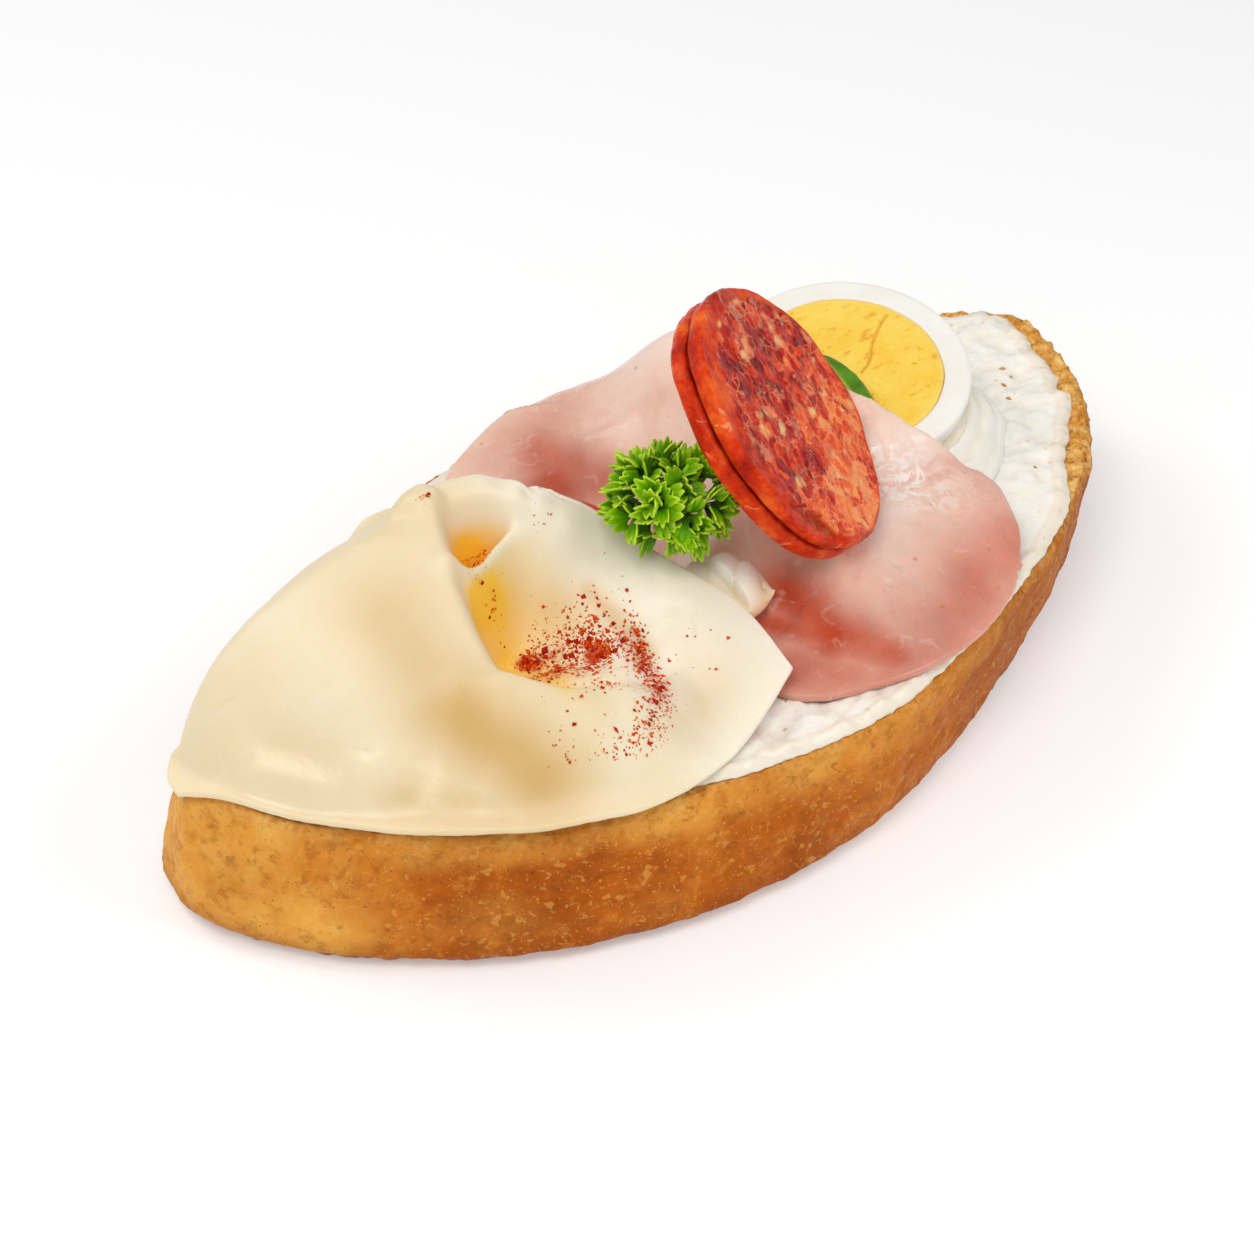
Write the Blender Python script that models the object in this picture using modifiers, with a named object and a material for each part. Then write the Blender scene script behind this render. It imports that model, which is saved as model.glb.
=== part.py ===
"""Open sandwich on an oblique slice of a white loaf.

Metres, +Z up.  +X runs along the bread's long axis towards the egg end, +Y
towards the back edge.  The origin is the centre of the bread's flat base.

All lengths below are millimetres; MM turns them into metres where a vertex is
placed.  The cheese and the ham are open surfaces with a Solidify modifier, the
egg is a turned profile, the slices are cylinders, and the bread is a cylinder
whose rings follow the loaf's own outline.
"""

import math

import bmesh
import bpy
from mathutils import Matrix, Vector, noise

MM = 0.001

# --- bread -------------------------------------------------------------
# The outlines of the cut face and of the base: centre, half length, half
# width, power (2 is an ellipse, less has more pointed ends), turn in radians,
# bow of the long axis, and the unevenness as (count, cosine, sine) waves.
RIM = {
    "centre": (2.4, 2.6),
    "half": (83.2, 43.7),
    "power": 1.45,
    "turn": 0.094,
    "bow": 0.141,
    "waves": ((2, 0.003, -0.011), (3, -0.003, -0.024), (4, -0.042, -0.010), (5, -0.006, -0.004)),
}
BASE = {
    "centre": (-1.6, 4.6),
    "half": (79.9, 40.4),
    "power": 1.80,
    "turn": 0.056,
    "bow": 0.066,
    "waves": ((2, -0.002, 0.013), (3, 0.020, 0.007), (4, 0.001, -0.025), (5, 0.002, -0.005)),
}
BREAD_HEIGHT = 22.0
CRUST_BELLY = 1.0             # how far the crust bulges out between rim and base
BASE_TUCK = 2.2               # rounding under the crust
RIM_ROUND = 0.7

# --- spread ------------------------------------------------------------
LOAF_MIDDLE = (0.0, 3.0)
SPREAD_TOP = 23.5
SPREAD_THICK = 1.1
SPREAD_INSET = 2.3
SPREAD_LUMP = 0.22

# --- slices ------------------------------------------------------------
CHEESE_THICK = 1.1
HAM_THICK = 1.3
SALAMI_RADIUS = 19.3
SALAMI_THICK = 2.4
SALAMI_FACE = (10.9, -6.7, 49.6)
SALAMI_NORMAL = (0.556, -0.550, 0.618)
EGG_RADIUS = 18.2
YOLK_RADIUS = 14.2
EGG_THICK = 4.6
EGG_FACE = (37.4, 12.2, 34.8)
EGG_TILT = math.radians(11.5)
TOMATO_RADIUS = 15.0
TOMATO_THICK = 3.2
TOMATO_TILT = math.radians(22.0)
GAP = 0.35

# The toppings are laid along two diagonals: ACROSS from the rim at the cheese
# end to the corner of the cheese, AWAY from there to the back edge.
LAY_TURN = math.radians(-38.0)
ACROSS = (math.cos(LAY_TURN), math.sin(LAY_TURN))
AWAY = (-math.sin(LAY_TURN), math.cos(LAY_TURN))

COLLECTION = "open_sandwich"


# ---------------------------------------------------------------- helpers
def clear_scene():
    for obj in list(bpy.data.objects):
        bpy.data.objects.remove(obj, do_unlink=True)
    for block in list(bpy.data.collections):
        bpy.data.collections.remove(block)


def material(name, colour, roughness, metallic=0.0, subsurface=0.0):
    mat = bpy.data.materials.new(name)
    mat.use_nodes = True
    shader = mat.node_tree.nodes["Principled BSDF"]
    shader.inputs["Base Color"].default_value = (*colour, 1.0)
    shader.inputs["Roughness"].default_value = roughness
    shader.inputs["Metallic"].default_value = metallic
    shader.inputs["Subsurface Weight"].default_value = subsurface
    mat.diffuse_color = (*colour, 1.0)
    return mat


def add_object(name, bm, mat, closed=True):
    if closed:
        bmesh.ops.recalc_face_normals(bm, faces=bm.faces)
    mesh = bpy.data.meshes.new(name)
    bm.to_mesh(mesh)
    bm.free()
    mesh.polygons.foreach_set("use_smooth", [True] * len(mesh.polygons))
    mesh.materials.append(mat)
    obj = bpy.data.objects.new(name, mesh)
    bpy.data.collections[COLLECTION].objects.link(obj)
    return obj


def solidify(obj, thickness):
    mod = obj.modifiers.new("Solidify", "SOLIDIFY")
    mod.thickness = thickness * MM
    mod.offset = -1.0
    mod.use_even_offset = False
    mod.use_rim = True
    return mod


def bevel(obj, width, segments=2):
    mod = obj.modifiers.new("Bevel", "BEVEL")
    mod.width = width * MM
    mod.segments = segments
    mod.limit_method = "ANGLE"
    mod.angle_limit = math.radians(40)
    return mod


def smoothstep(t):
    t = max(0.0, min(1.0, t))
    return t * t * (3.0 - 2.0 * t)


def mix(a, b, t):
    return a + (b - a) * t


def wander(x, y, size, seed):
    """Soft noise between about -1 and 1, with lumps `size` mm wide."""
    return 2.0 * noise.noise(Vector((x / size, y / size, seed)))


def to_lay(x, y):
    return x * ACROSS[0] + y * ACROSS[1], x * AWAY[0] + y * AWAY[1]


def from_lay(p, q):
    return p * ACROSS[0] + q * AWAY[0], p * ACROSS[1] + q * AWAY[1]


def blend(heights, power=4.0):
    """Upper envelope of a few heights over the floor, rounded where two of them meet."""
    return sum(max(0.0, h) ** power for h in heights) ** (1.0 / power)


def along(x, y, x0, y0, x1, y1):
    """Share of the way along a segment, and the signed distance from it."""
    dx, dy = x1 - x0, y1 - y0
    length = math.hypot(dx, dy)
    t = ((x - x0) * dx + (y - y0) * dy) / length**2
    t = max(0.0, min(1.0, t))
    ex, ey = x - (x0 + dx * t), y - (y0 + dy * t)
    side = math.copysign(1.0, dx * ey - dy * ex) if (ex or ey) else 1.0
    return t, side * math.hypot(ex, ey)


def fold(x, y, start, end, left, right):
    """Height of a rounded fold whose crest runs from start to end.

    start and end are (x, y, crest height over the floor); left and right are
    the widths of its two flanks, looking from start to end.
    """
    t, d = along(x, y, start[0], start[1], end[0], end[1])
    width = left if d > 0 else right
    return mix(start[2], end[2], t) * math.exp(-((abs(d) / width) ** 2.2))


def chain(x, y, crest, left, right):
    """A fold whose crest runs through several (x, y, height) points."""
    return max(fold(x, y, a, b, left, right) for a, b in zip(crest, crest[1:]))


def spline(points, t):
    """Point at share t of a smooth curve through the named points."""
    last = len(points) - 1
    s = max(0.0, min(last - 1e-9, t * last))
    i = int(s)
    f = s - i
    p0 = points[max(0, i - 1)]
    p1, p2 = points[i], points[i + 1]
    p3 = points[min(last, i + 2)]
    return tuple(
        0.5
        * (
            2 * b
            + (c - a) * f
            + (2 * a - 5 * b + 4 * c - d) * f * f
            + (3 * b - a - 3 * c + d) * f**3
        )
        for a, b, c, d in zip(p0, p1, p2, p3)
    )


# ------------------------------------------------------------------ bread
def outline(shape, angle, inset):
    """Point on one of the loaf's outlines, drawn in by inset."""
    a, b = shape["half"][0] - inset, shape["half"][1] - inset
    c, s = math.cos(angle), math.sin(angle)
    n = shape["power"]
    r = (abs(c) ** n + abs(s) ** n) ** (-1.0 / n)
    r *= 1.0 + sum(
        wc * math.cos(k * angle) + ws * math.sin(k * angle) for k, wc, ws in shape["waves"]
    )
    x, y = a * c * r, b * s * r
    y += shape["bow"] * x * x / a
    ct, st = math.cos(shape["turn"]), math.sin(shape["turn"])
    return shape["centre"][0] + ct * x - st * y, shape["centre"][1] + st * x + ct * y


def loaf_outline(angle, inset):
    return outline(RIM, angle, inset)


def crust_point(angle, level):
    """Point on the crust at this share of the bread's height."""
    belly = CRUST_BELLY * math.sin(math.pi * level**0.7)
    tuck = BASE_TUCK * (1.0 - smoothstep(level / 0.16)) ** 1.5
    round_over = RIM_ROUND * smoothstep((level - 0.95) / 0.05)
    inset = -belly + tuck + round_over
    rx, ry = outline(RIM, angle, inset)
    bx, by = outline(BASE, angle, inset)
    t = smoothstep(level * 0.5 + 0.25) * 1.6 - 0.3
    t = max(0.0, min(1.0, (level - 0.05) / 0.9)) * 0.5 + max(0.0, min(1.0, t)) * 0.5
    return mix(bx, rx, t), mix(by, ry, t)


def make_bread(mat):
    segments, rings = 64, 7
    bm = bmesh.new()
    bmesh.ops.create_cone(
        bm, cap_ends=True, segments=segments, radius1=1.0, radius2=1.0, depth=1.0
    )
    sides = [e for e in bm.edges if abs(e.verts[0].co.z - e.verts[1].co.z) > 0.5]
    bmesh.ops.subdivide_edges(bm, edges=sides, cuts=rings, use_grid_fill=False)
    for v in bm.verts:
        share = v.co.z + 0.5
        level = 0.5 - 0.5 * math.cos(math.pi * share)
        angle = math.atan2(v.co.y, v.co.x)
        x, y = crust_point(angle, level)
        rough = 0.35 * wander(x, y, 9.0, 3.0 + level * 2.0) * smoothstep(level / 0.1)
        d = math.hypot(x, y)
        v.co = Vector((x * (1 + rough / d), y * (1 + rough / d), level * BREAD_HEIGHT)) * MM
    return add_object("bread", bm, mat)


# ----------------------------------------------------------------- spread
def spread_height(x, y):
    return SPREAD_TOP + SPREAD_LUMP * wander(x, y, 7.0, 11.0)


def square_to_disc(u, v):
    """Maps the square -1..1 to the unit disc, keeping the grid even."""
    return u * math.sqrt(1 - v * v / 2), v * math.sqrt(1 - u * u / 2)


def make_spread(mat):
    bm = bmesh.new()
    bmesh.ops.create_grid(bm, x_segments=20, y_segments=11, size=1.0)
    for v in bm.verts:
        dx, dy = square_to_disc(v.co.x, v.co.y)
        r = math.hypot(dx, dy)
        angle = math.atan2(dy, dx)
        inset = SPREAD_INSET + 0.9 * wander(3 * math.cos(angle), 3 * math.sin(angle), 1.0, 5.0)
        ox, oy = loaf_outline(angle, inset)
        x = LOAF_MIDDLE[0] + (ox - LOAF_MIDDLE[0]) * r
        y = LOAF_MIDDLE[1] + (oy - LOAF_MIDDLE[1]) * r
        drop = 0.25 * smoothstep((r - 0.94) / 0.06)
        v.co = Vector((x, y, spread_height(x, y) - drop)) * MM
    obj = add_object("spread", bm, mat, closed=False)
    solidify(obj, SPREAD_THICK - 0.3)
    return obj


# -------------------------------------------------------------------- ham
HAM_FLOOR = SPREAD_TOP + SPREAD_LUMP + GAP + HAM_THICK + 0.1
HAM_CENTRE = (8.0, 0.0)


GHERKIN_LINE = (35.8, 15.0, 32.9, -1.5)


def egg_plane(x, y):
    """Height of the egg's face plane."""
    dx, dy = x - EGG_FACE[0], y - EGG_FACE[1]
    return EGG_FACE[2] + (dx * AWAY[0] + dy * AWAY[1]) * math.tan(EGG_TILT)


def ham_height(x, y):
    # The back fold climbs from the back rim to the salami and turns down its side.
    values = [
        chain(x, y, ((-16, 38, 1.0), (6, 35, 5.0), (19, 27, 13.0)), 8, 20),
        chain(x, y, ((19, 27, 13.0), (13, 13, 10.5), (6, -2, 6.5)), 12, 10),
        chain(x, y, ((6, -2, 6.5), (12, -17, 5.0)), 9, 8),
    ]
    # The front lobe lies over the near part of the egg and rolls down to the rim.
    dx, dy = x - EGG_FACE[0], y - EGG_FACE[1]
    over = smoothstep((26.0 - math.hypot(dx, dy)) / 7.0)
    strip = along(x, y, *GHERKIN_LINE)[1]
    lift = HAM_THICK + 1.9 + 2.4 * math.exp(-((strip / 5.0) ** 2))
    values.append((egg_plane(x, y) + lift - HAM_FLOOR) * over)
    values.append(fold(x, y, (14, -16, 5.0), (36, -10, 5.5), 12, 13))
    return HAM_FLOOR + blend(values)


HAM_EDGE = (
    (32.5, 4.5),
    (27.0, 16.0),
    (25.0, 36.0),
    (6.0, 40.0),
    (-13.0, 37.5),
    (-24.0, 28.0),
    (-24.0, 10.0),
    (-15.0, -6.0),
    (-8.5, -17.0),
    (-7.6, -28.5),
    (3.0, -34.5),
    (16.0, -36.0),
    (34.0, -28.5),
    (42.5, -15.0),
    (39.5, -4.0),
)


def ham_reach(angle):
    """Distance of the ham's edge from its centre in one direction."""
    turn = (angle / (2 * math.pi)) % 1.0
    knots = []
    for x, y in HAM_EDGE:
        dx, dy = x - HAM_CENTRE[0], y - HAM_CENTRE[1]
        knots.append(((math.atan2(dy, dx) / (2 * math.pi)) % 1.0, math.hypot(dx, dy)))
    knots.sort()
    knots = [(a - 1, r) for a, r in knots] + knots + [(a + 1, r) for a, r in knots]
    for i in range(1, len(knots) - 2):
        if knots[i][0] <= turn < knots[i + 1][0]:
            f = (turn - knots[i][0]) / (knots[i + 1][0] - knots[i][0])
            r0, r1, r2, r3 = (knots[j][1] for j in range(i - 1, i + 3))
            return 0.5 * (
                2 * r1
                + (r2 - r0) * f
                + (2 * r0 - 5 * r1 + 4 * r2 - r3) * f * f
                + (3 * r1 - r0 - 3 * r2 + r3) * f**3
            )
    return 30.0


def make_ham(mat):
    bm = bmesh.new()
    bmesh.ops.create_grid(bm, x_segments=20, y_segments=20, size=1.0)
    for v in bm.verts:
        dx, dy = square_to_disc(v.co.x, v.co.y)
        r, angle = math.hypot(dx, dy), math.atan2(dy, dx)
        reach = ham_reach(angle) * r
        x = HAM_CENTRE[0] + reach * math.cos(angle)
        y = HAM_CENTRE[1] + reach * math.sin(angle)
        v.co = Vector((x, y, ham_height(x, y))) * MM
    obj = add_object("ham_slice", bm, mat, closed=False)
    solidify(obj, HAM_THICK)
    return obj


# ----------------------------------------------------------------- cheese
CHEESE_FLOOR = SPREAD_TOP + SPREAD_LUMP + GAP + CHEESE_THICK + 0.1


def dome_crest(x):
    """Height of the big left fold over the floor, along the bread."""
    t = max(0.0, -(x + 36.0) / 40.6)
    return 21.0 * max(0.0, 1.0 - t**2.4) ** 0.62


def cheese_dome(x, y):
    crest = 8.0 - 0.08 * (x + 36.0)
    front, back = loaf_span(x)
    t = (y - crest) / ((back - crest) if y > crest else (crest - front))
    t = max(-1.0, min(1.0, t))
    bell = math.cos(math.pi / 2 * t) ** (1.6 if y < crest else 2.0)
    lip = -33.5 - 3.0 * smoothstep((6.0 - y) / 12.0)
    wall = smoothstep((lip + 2.5 - x) / 6.0)
    return dome_crest(x) * bell * wall


def loaf_span(x):
    """y of the loaf's front and back rim at x, from its outline."""
    best = []
    for sign in (-1, 1):
        lo, hi = (-math.pi, 0.0) if sign < 0 else (math.pi, 0.0)
        for _ in range(24):
            mid = 0.5 * (lo + hi)
            if loaf_outline(mid, 0.5)[0] < x:
                lo = mid
            else:
                hi = mid
        best.append(loaf_outline(0.5 * (lo + hi), 0.5)[1])
    return best[0], best[1]


def cheese_plateau(x, y):
    p, q = to_lay(x, y)
    z = 37.4 - 0.016 * p + 0.296 * q
    # the deep pocket behind the lip, and the groove that runs round its nose
    pit = math.exp(-(((p + 23.5) / 8.5) ** 2 + ((q + 21.5) / 6.0) ** 2))
    z -= 6.0 * pit
    z -= fold(x, y, (-23, -9, 3.6), (-17.6, -13.5, 4.0), 4.2, 4.2) * 0.9
    z -= fold(x, y, (-17.6, -13.5, 4.0), (-21.8, -21.0, 3.4), 3.6, 3.6) * 0.8
    z -= fold(x, y, (-21.8, -21.0, 3.4), (-31.0, -29.0, 1.0), 3.6, 3.6) * 0.8
    slot = math.exp(-(((p + 28.5) / 6.0) ** 2 + ((q + 14.0) / 3.4) ** 2))
    z -= 1.0 * slot
    return z - CHEESE_FLOOR


def cheese_floor(x, y):
    """The slice lies on the spread and sags over the loaf's rim."""
    return CHEESE_FLOOR - 1.2 * smoothstep((rim_share(x, y) - 0.93) / 0.07)


def rim_share(x, y):
    """0 at the loaf's middle, 1 on its rim."""
    dx, dy = x - LOAF_MIDDLE[0], y - LOAF_MIDDLE[1]
    lo, hi = math.atan2(dy, dx) - 0.9, math.atan2(dy, dx) + 0.9
    want = math.atan2(dy, dx)
    for _ in range(20):
        mid = 0.5 * (lo + hi)
        ox, oy = loaf_outline(mid, 0.0)
        got = math.atan2(oy - LOAF_MIDDLE[1], ox - LOAF_MIDDLE[0])
        diff = (got - want + math.pi) % (2 * math.pi) - math.pi
        if diff < 0:
            lo = mid
        else:
            hi = mid
    ox, oy = loaf_outline(0.5 * (lo + hi), 0.0)
    return math.hypot(dx, dy) / math.hypot(ox - LOAF_MIDDLE[0], oy - LOAF_MIDDLE[1])


def cheese_height(x, y):
    values = [
        cheese_dome(x, y),
        cheese_plateau(x, y) * smoothstep((x + 47.0) / 9.0),
        fold(x, y, (-43, -7, 11.0), (-27.5, -18, 5.6), 6.0, 9.0),
        chain(x, y, ((-39, -0.5, 17.5), (-33, 1.8, 16.5), (-21.6, 6.5, 15.4)), 2.6, 2.4),
        chain(x, y, ((-36, 12.5, 20.5), (-32, 12.8, 20.5), (-26.5, 11.5, 19.8), (-22.0, 9.5, 16.0)), 5.5, 3.4),
    ]
    return cheese_floor(x, y) + blend(values, 6.0)


# The four edges of the slice in plan, each from its left or front end.
CHEESE_FRONT = ((-78.6, 4.8), (-68.0, -10.5), (-52.5, -25.3), (-37.0, -33.2), (-21.2, -33.4), (-6.8, -28.2))
CHEESE_RIGHT = ((-6.8, -28.2), (-6.2, -17.4), (-8.8, -8.0), (-12.5, 1.6), (-18.8, 8.6))
CHEESE_BACK = ((-75.8, 11.8), (-66.5, 17.5), (-52.0, 22.5), (-38.0, 23.5), (-27.5, 18.5), (-18.8, 8.6))
CHEESE_LEFT = ((-78.6, 4.8), (-78.1, 8.4), (-75.8, 11.8))


def crowd(t, place, amount):
    """Spaces points closer together around place, from 0 to 1 both ways."""
    shift = lambda s: s - amount * math.sin(2 * math.pi * (s - place)) / (2 * math.pi)
    return (shift(t) - shift(0.0)) / (shift(1.0) - shift(0.0))


def cheese_plan(u, v):
    """Plan position of the slice's point u, v, filled in between its four edges."""
    front, back = spline(CHEESE_FRONT, u), spline(CHEESE_BACK, u)
    left, right = spline(CHEESE_LEFT, v), spline(CHEESE_RIGHT, v)
    c00, c10 = CHEESE_FRONT[0], CHEESE_FRONT[-1]
    c01, c11 = CHEESE_BACK[0], CHEESE_BACK[-1]
    return tuple(
        (1 - v) * front[i]
        + v * back[i]
        + (1 - u) * left[i]
        + u * right[i]
        - (1 - u) * (1 - v) * c00[i]
        - u * (1 - v) * c10[i]
        - (1 - u) * v * c01[i]
        - u * v * c11[i]
        for i in (0, 1)
    )


def make_cheese(mat):
    bm = bmesh.new()
    bmesh.ops.create_grid(bm, x_segments=27, y_segments=21, size=0.5)
    for vert in bm.verts:
        u, v = crowd(vert.co.x + 0.5, 0.72, 0.45), crowd(vert.co.y + 0.5, 0.75, 0.4)
        x, y = cheese_plan(u, v)
        vert.co = Vector((x, y, cheese_height(x, y))) * MM
    obj = add_object("cheese_slice", bm, mat, closed=False)
    solidify(obj, CHEESE_THICK)
    return obj


# ----------------------------------------------------------- round slices
def slice_frame(centre, normal, turn=0.0):
    n = Vector(normal).normalized()
    rot = Vector((0, 0, 1)).rotation_difference(n).to_matrix().to_4x4()
    return Matrix.Translation(Vector(centre) * MM) @ rot @ Matrix.Rotation(turn, 4, "Z")


def make_salami(name, centre, normal, radius, bow, seed, mat):
    """A cut slice of sausage: slightly oval, bowed like a dish, with a rounded skin."""
    bm = bmesh.new()
    bmesh.ops.create_cone(
        bm, cap_ends=True, cap_tris=True, segments=32, radius1=1.0, radius2=1.0, depth=1.0
    )
    rings = [e for e in bm.edges if abs(e.verts[0].co.z - e.verts[1].co.z) < 0.5
             and min(e.verts[0].co.xy.length, e.verts[1].co.xy.length) < 0.5]
    bmesh.ops.subdivide_edges(bm, edges=rings, cuts=1, use_grid_fill=True)
    for v in bm.verts:
        r = v.co.xy.length
        angle = math.atan2(v.co.y, v.co.x)
        reach = radius * r * (1 + 0.012 * math.cos(2 * angle + seed) + 0.008 * math.sin(5 * angle + seed))
        lift = bow * r * r * math.cos(angle + seed) + 0.25 * wander(angle, r, 1.0, seed) * r
        z = (v.co.z - 0.5) * SALAMI_THICK + lift
        v.co = Vector((reach * math.cos(angle), reach * math.sin(angle), z)) * MM
    obj = add_object(name, bm, mat)
    obj.matrix_world = slice_frame(centre, normal)
    bevel(obj, 0.55, 1)
    return obj


def turned(name, profile, steps, frame, mat):
    """A profile of (radius, height) pairs turned about the slice's own axis."""
    bm = bmesh.new()
    points = [bm.verts.new(Vector((r, 0.0, z)) * MM) for r, z in reversed(profile)]
    for a, b in zip(points, points[1:]):
        bm.edges.new((a, b))
    if min(r for r, z in profile) > 0.01:
        bm.edges.new((points[-1], points[0]))
    mesh = bpy.data.meshes.new(name)
    bm.to_mesh(mesh)
    bm.free()
    mesh.materials.append(mat)
    obj = bpy.data.objects.new(name, mesh)
    bpy.data.collections[COLLECTION].objects.link(obj)
    screw = obj.modifiers.new("Screw", "SCREW")
    screw.axis = "Z"
    screw.steps = steps
    screw.render_steps = steps
    screw.use_merge_vertices = True
    screw.merge_threshold = 0.00001
    screw.use_smooth_shade = True
    obj.matrix_world = frame
    return obj


def make_egg(white_mat, yolk_mat):
    normal = (-AWAY[0] * math.sin(EGG_TILT), -AWAY[1] * math.sin(EGG_TILT), math.cos(EGG_TILT))
    frame = slice_frame(EGG_FACE, normal)
    hole = YOLK_RADIUS + 0.15
    outer = EGG_RADIUS
    # one slice from beside the egg's middle, so its rim narrows a little downwards
    white = [
        (hole, -EGG_THICK),
        (outer - 1.6, -EGG_THICK),
        (outer - 0.9, -EGG_THICK + 0.4),
        (outer - 0.1, -0.7),
        (outer - 0.6, 0.0),
        (hole + 0.4, 0.0),
        (hole, -0.3),
    ]
    yolk = [
        (0.0, -EGG_THICK + 0.1),
        (YOLK_RADIUS - 0.5, -EGG_THICK + 0.1),
        (YOLK_RADIUS - 0.2, -EGG_THICK + 0.4),
        (YOLK_RADIUS - 0.2, -0.5),
        (YOLK_RADIUS - 0.8, 0.0),
        (YOLK_RADIUS * 0.5, 0.12),
        (0.0, 0.15),
    ]
    turned("egg_white", white, 40, frame, white_mat)
    turned("egg_yolk", yolk, 36, frame, yolk_mat)


def make_tomato(name, centre, tilt, heading, radius, thick, mat):
    """Half of a round slice: the straight cut faces back along the heading."""
    bm = bmesh.new()
    bmesh.ops.create_cone(
        bm, cap_ends=True, segments=36, radius1=1.0, radius2=1.0, depth=1.0
    )
    for v in bm.verts:
        angle = math.atan2(v.co.y, v.co.x)
        r = radius * (1 + 0.02 * math.cos(5 * angle))
        v.co = Vector((r * math.cos(angle), r * math.sin(angle), (v.co.z - 0.5) * thick)) * MM
    geom = bm.verts[:] + bm.edges[:] + bm.faces[:]
    cut = bmesh.ops.bisect_plane(
        bm, geom=geom, plane_co=(0, 0, 0), plane_no=(0, -1, 0), clear_outer=True
    )
    edges = [e for e in cut["geom_cut"] if isinstance(e, bmesh.types.BMEdge)]
    bmesh.ops.contextual_create(bm, geom=edges)
    obj = add_object(name, bm, mat)
    bevel(obj, 0.5, 1)
    obj.matrix_world = (
        Matrix.Translation(Vector(centre) * MM)
        @ Matrix.Rotation(heading - math.pi / 2, 4, "Z")
        @ Matrix.Rotation(tilt, 4, "X")
    )
    return obj


def make_gherkin(mat):
    """A short bent strip with a rounded green skin, lying on the egg."""
    bm = bmesh.new()
    bmesh.ops.create_uvsphere(bm, u_segments=12, v_segments=10, radius=1.0)
    x0, y0, x1, y1 = GHERKIN_LINE
    mid = ((x0 + x1) / 2, (y0 + y1) / 2)
    half = math.hypot(x1 - x0, y1 - y0) / 2
    heading = math.atan2(y1 - y0, x1 - x0)
    for v in bm.verts:
        s, side, up = v.co.z * half, v.co.y * 2.7, -v.co.x * 1.3
        side += 1.6 * (1.0 - (s / half) ** 2) - 0.8
        x = mid[0] + s * math.cos(heading) - side * math.sin(heading)
        y = mid[1] + s * math.sin(heading) + side * math.cos(heading)
        v.co = Vector((x, y, egg_plane(x, y) + GAP + 1.5 + up)) * MM
    return add_object("gherkin", bm, mat, closed=False)


# ------------------------------------------------------------------- mayo
def make_mayo_egg(mat):
    """The piped bed under the egg, in rings that step down beyond its edge."""
    centre = (40.0, 6.5)
    bm = bmesh.new()
    bmesh.ops.create_grid(bm, x_segments=12, y_segments=12, size=1.0)
    for v in bm.verts:
        dx, dy = square_to_disc(v.co.x, v.co.y)
        r, angle = math.hypot(dx, dy), math.atan2(dy, dx)
        reach = 19.5 - 3.0 * math.cos(angle - 2.2)
        x = centre[0] + reach * r * math.cos(angle)
        y = centre[1] + reach * r * math.sin(angle)
        under = egg_plane(x, y) - EGG_THICK - GAP - 0.4
        ridges = 0.55 * math.cos(reach * r * 2 * math.pi / 5.0)
        side = SPREAD_TOP + 0.9 + 6.4 * (1 - r**3.0) + ridges * smoothstep((1 - r) / 0.1)
        top = min(under, side)
        top = min(top, ham_height(x, y) - HAM_THICK * 1.3 - GAP - 0.3) if inside_ham(x, y) else top
        v.co = Vector((x, y, max(top, SPREAD_TOP + SPREAD_LUMP + GAP + 0.5))) * MM
    floor = (SPREAD_TOP + SPREAD_LUMP + GAP) * MM
    made = bmesh.ops.extrude_face_region(bm, geom=bm.faces[:])
    for v in [g for g in made["geom"] if isinstance(g, bmesh.types.BMVert)]:
        v.co.z = floor
    return add_object("mayo_egg", bm, mat)


def inside_ham(x, y):
    dx, dy = x - HAM_CENTRE[0], y - HAM_CENTRE[1]
    return math.hypot(dx, dy) < ham_reach(math.atan2(dy, dx)) + 2.0


def make_mayo_centre(mat):
    """A small piped shell with three ridges, between the cheese and the ham."""
    bm = bmesh.new()
    bmesh.ops.create_uvsphere(bm, u_segments=16, v_segments=13, radius=1.0)
    turn = (
        Matrix.Translation((-2.6, -12.4, 30.4))
        @ Matrix.Rotation(math.radians(52.0), 4, "Z")
        @ Matrix.Rotation(math.radians(4.0), 4, "X")
    )
    for v in bm.verts:
        s = v.co.y
        swell = 1.0 + 0.10 * math.cos(3 * s * math.pi)
        across = math.atan2(v.co.z, v.co.x)
        p = turn @ Vector((v.co.x * 5.4 * swell, s * 7.2 + 0.9 * math.sin(across), v.co.z * 3.4 * swell))
        if p.x < -4.5:
            p.z = min(p.z, cheese_height(p.x, p.y) - CHEESE_THICK * 1.5 - GAP - 0.3)
        p.z = max(p.z, ham_height(p.x, p.y) + GAP + 0.35)
        v.co = p * MM
    return add_object("mayo_centre", bm, mat)


# ---------------------------------------------------------------- parsley
def make_parsley(mat):
    """The outer form of a small curly sprig."""
    bm = bmesh.new()
    bmesh.ops.create_icosphere(bm, subdivisions=3, radius=1.0)
    for v in bm.verts:
        d = v.co.normalized()
        lump = noise.noise(d * 3.1 + Vector((4.0, 1.0, 7.0)))
        r = 1.0 + 0.22 * lump
        v.co = Vector((d.x * 8.6 * r, d.y * 8.6 * r, d.z * 6.8 * r)) * MM
    obj = add_object("parsley", bm, mat)
    obj.location = Vector((-6.9, -4.0, 44.0)) * MM
    return obj


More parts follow.
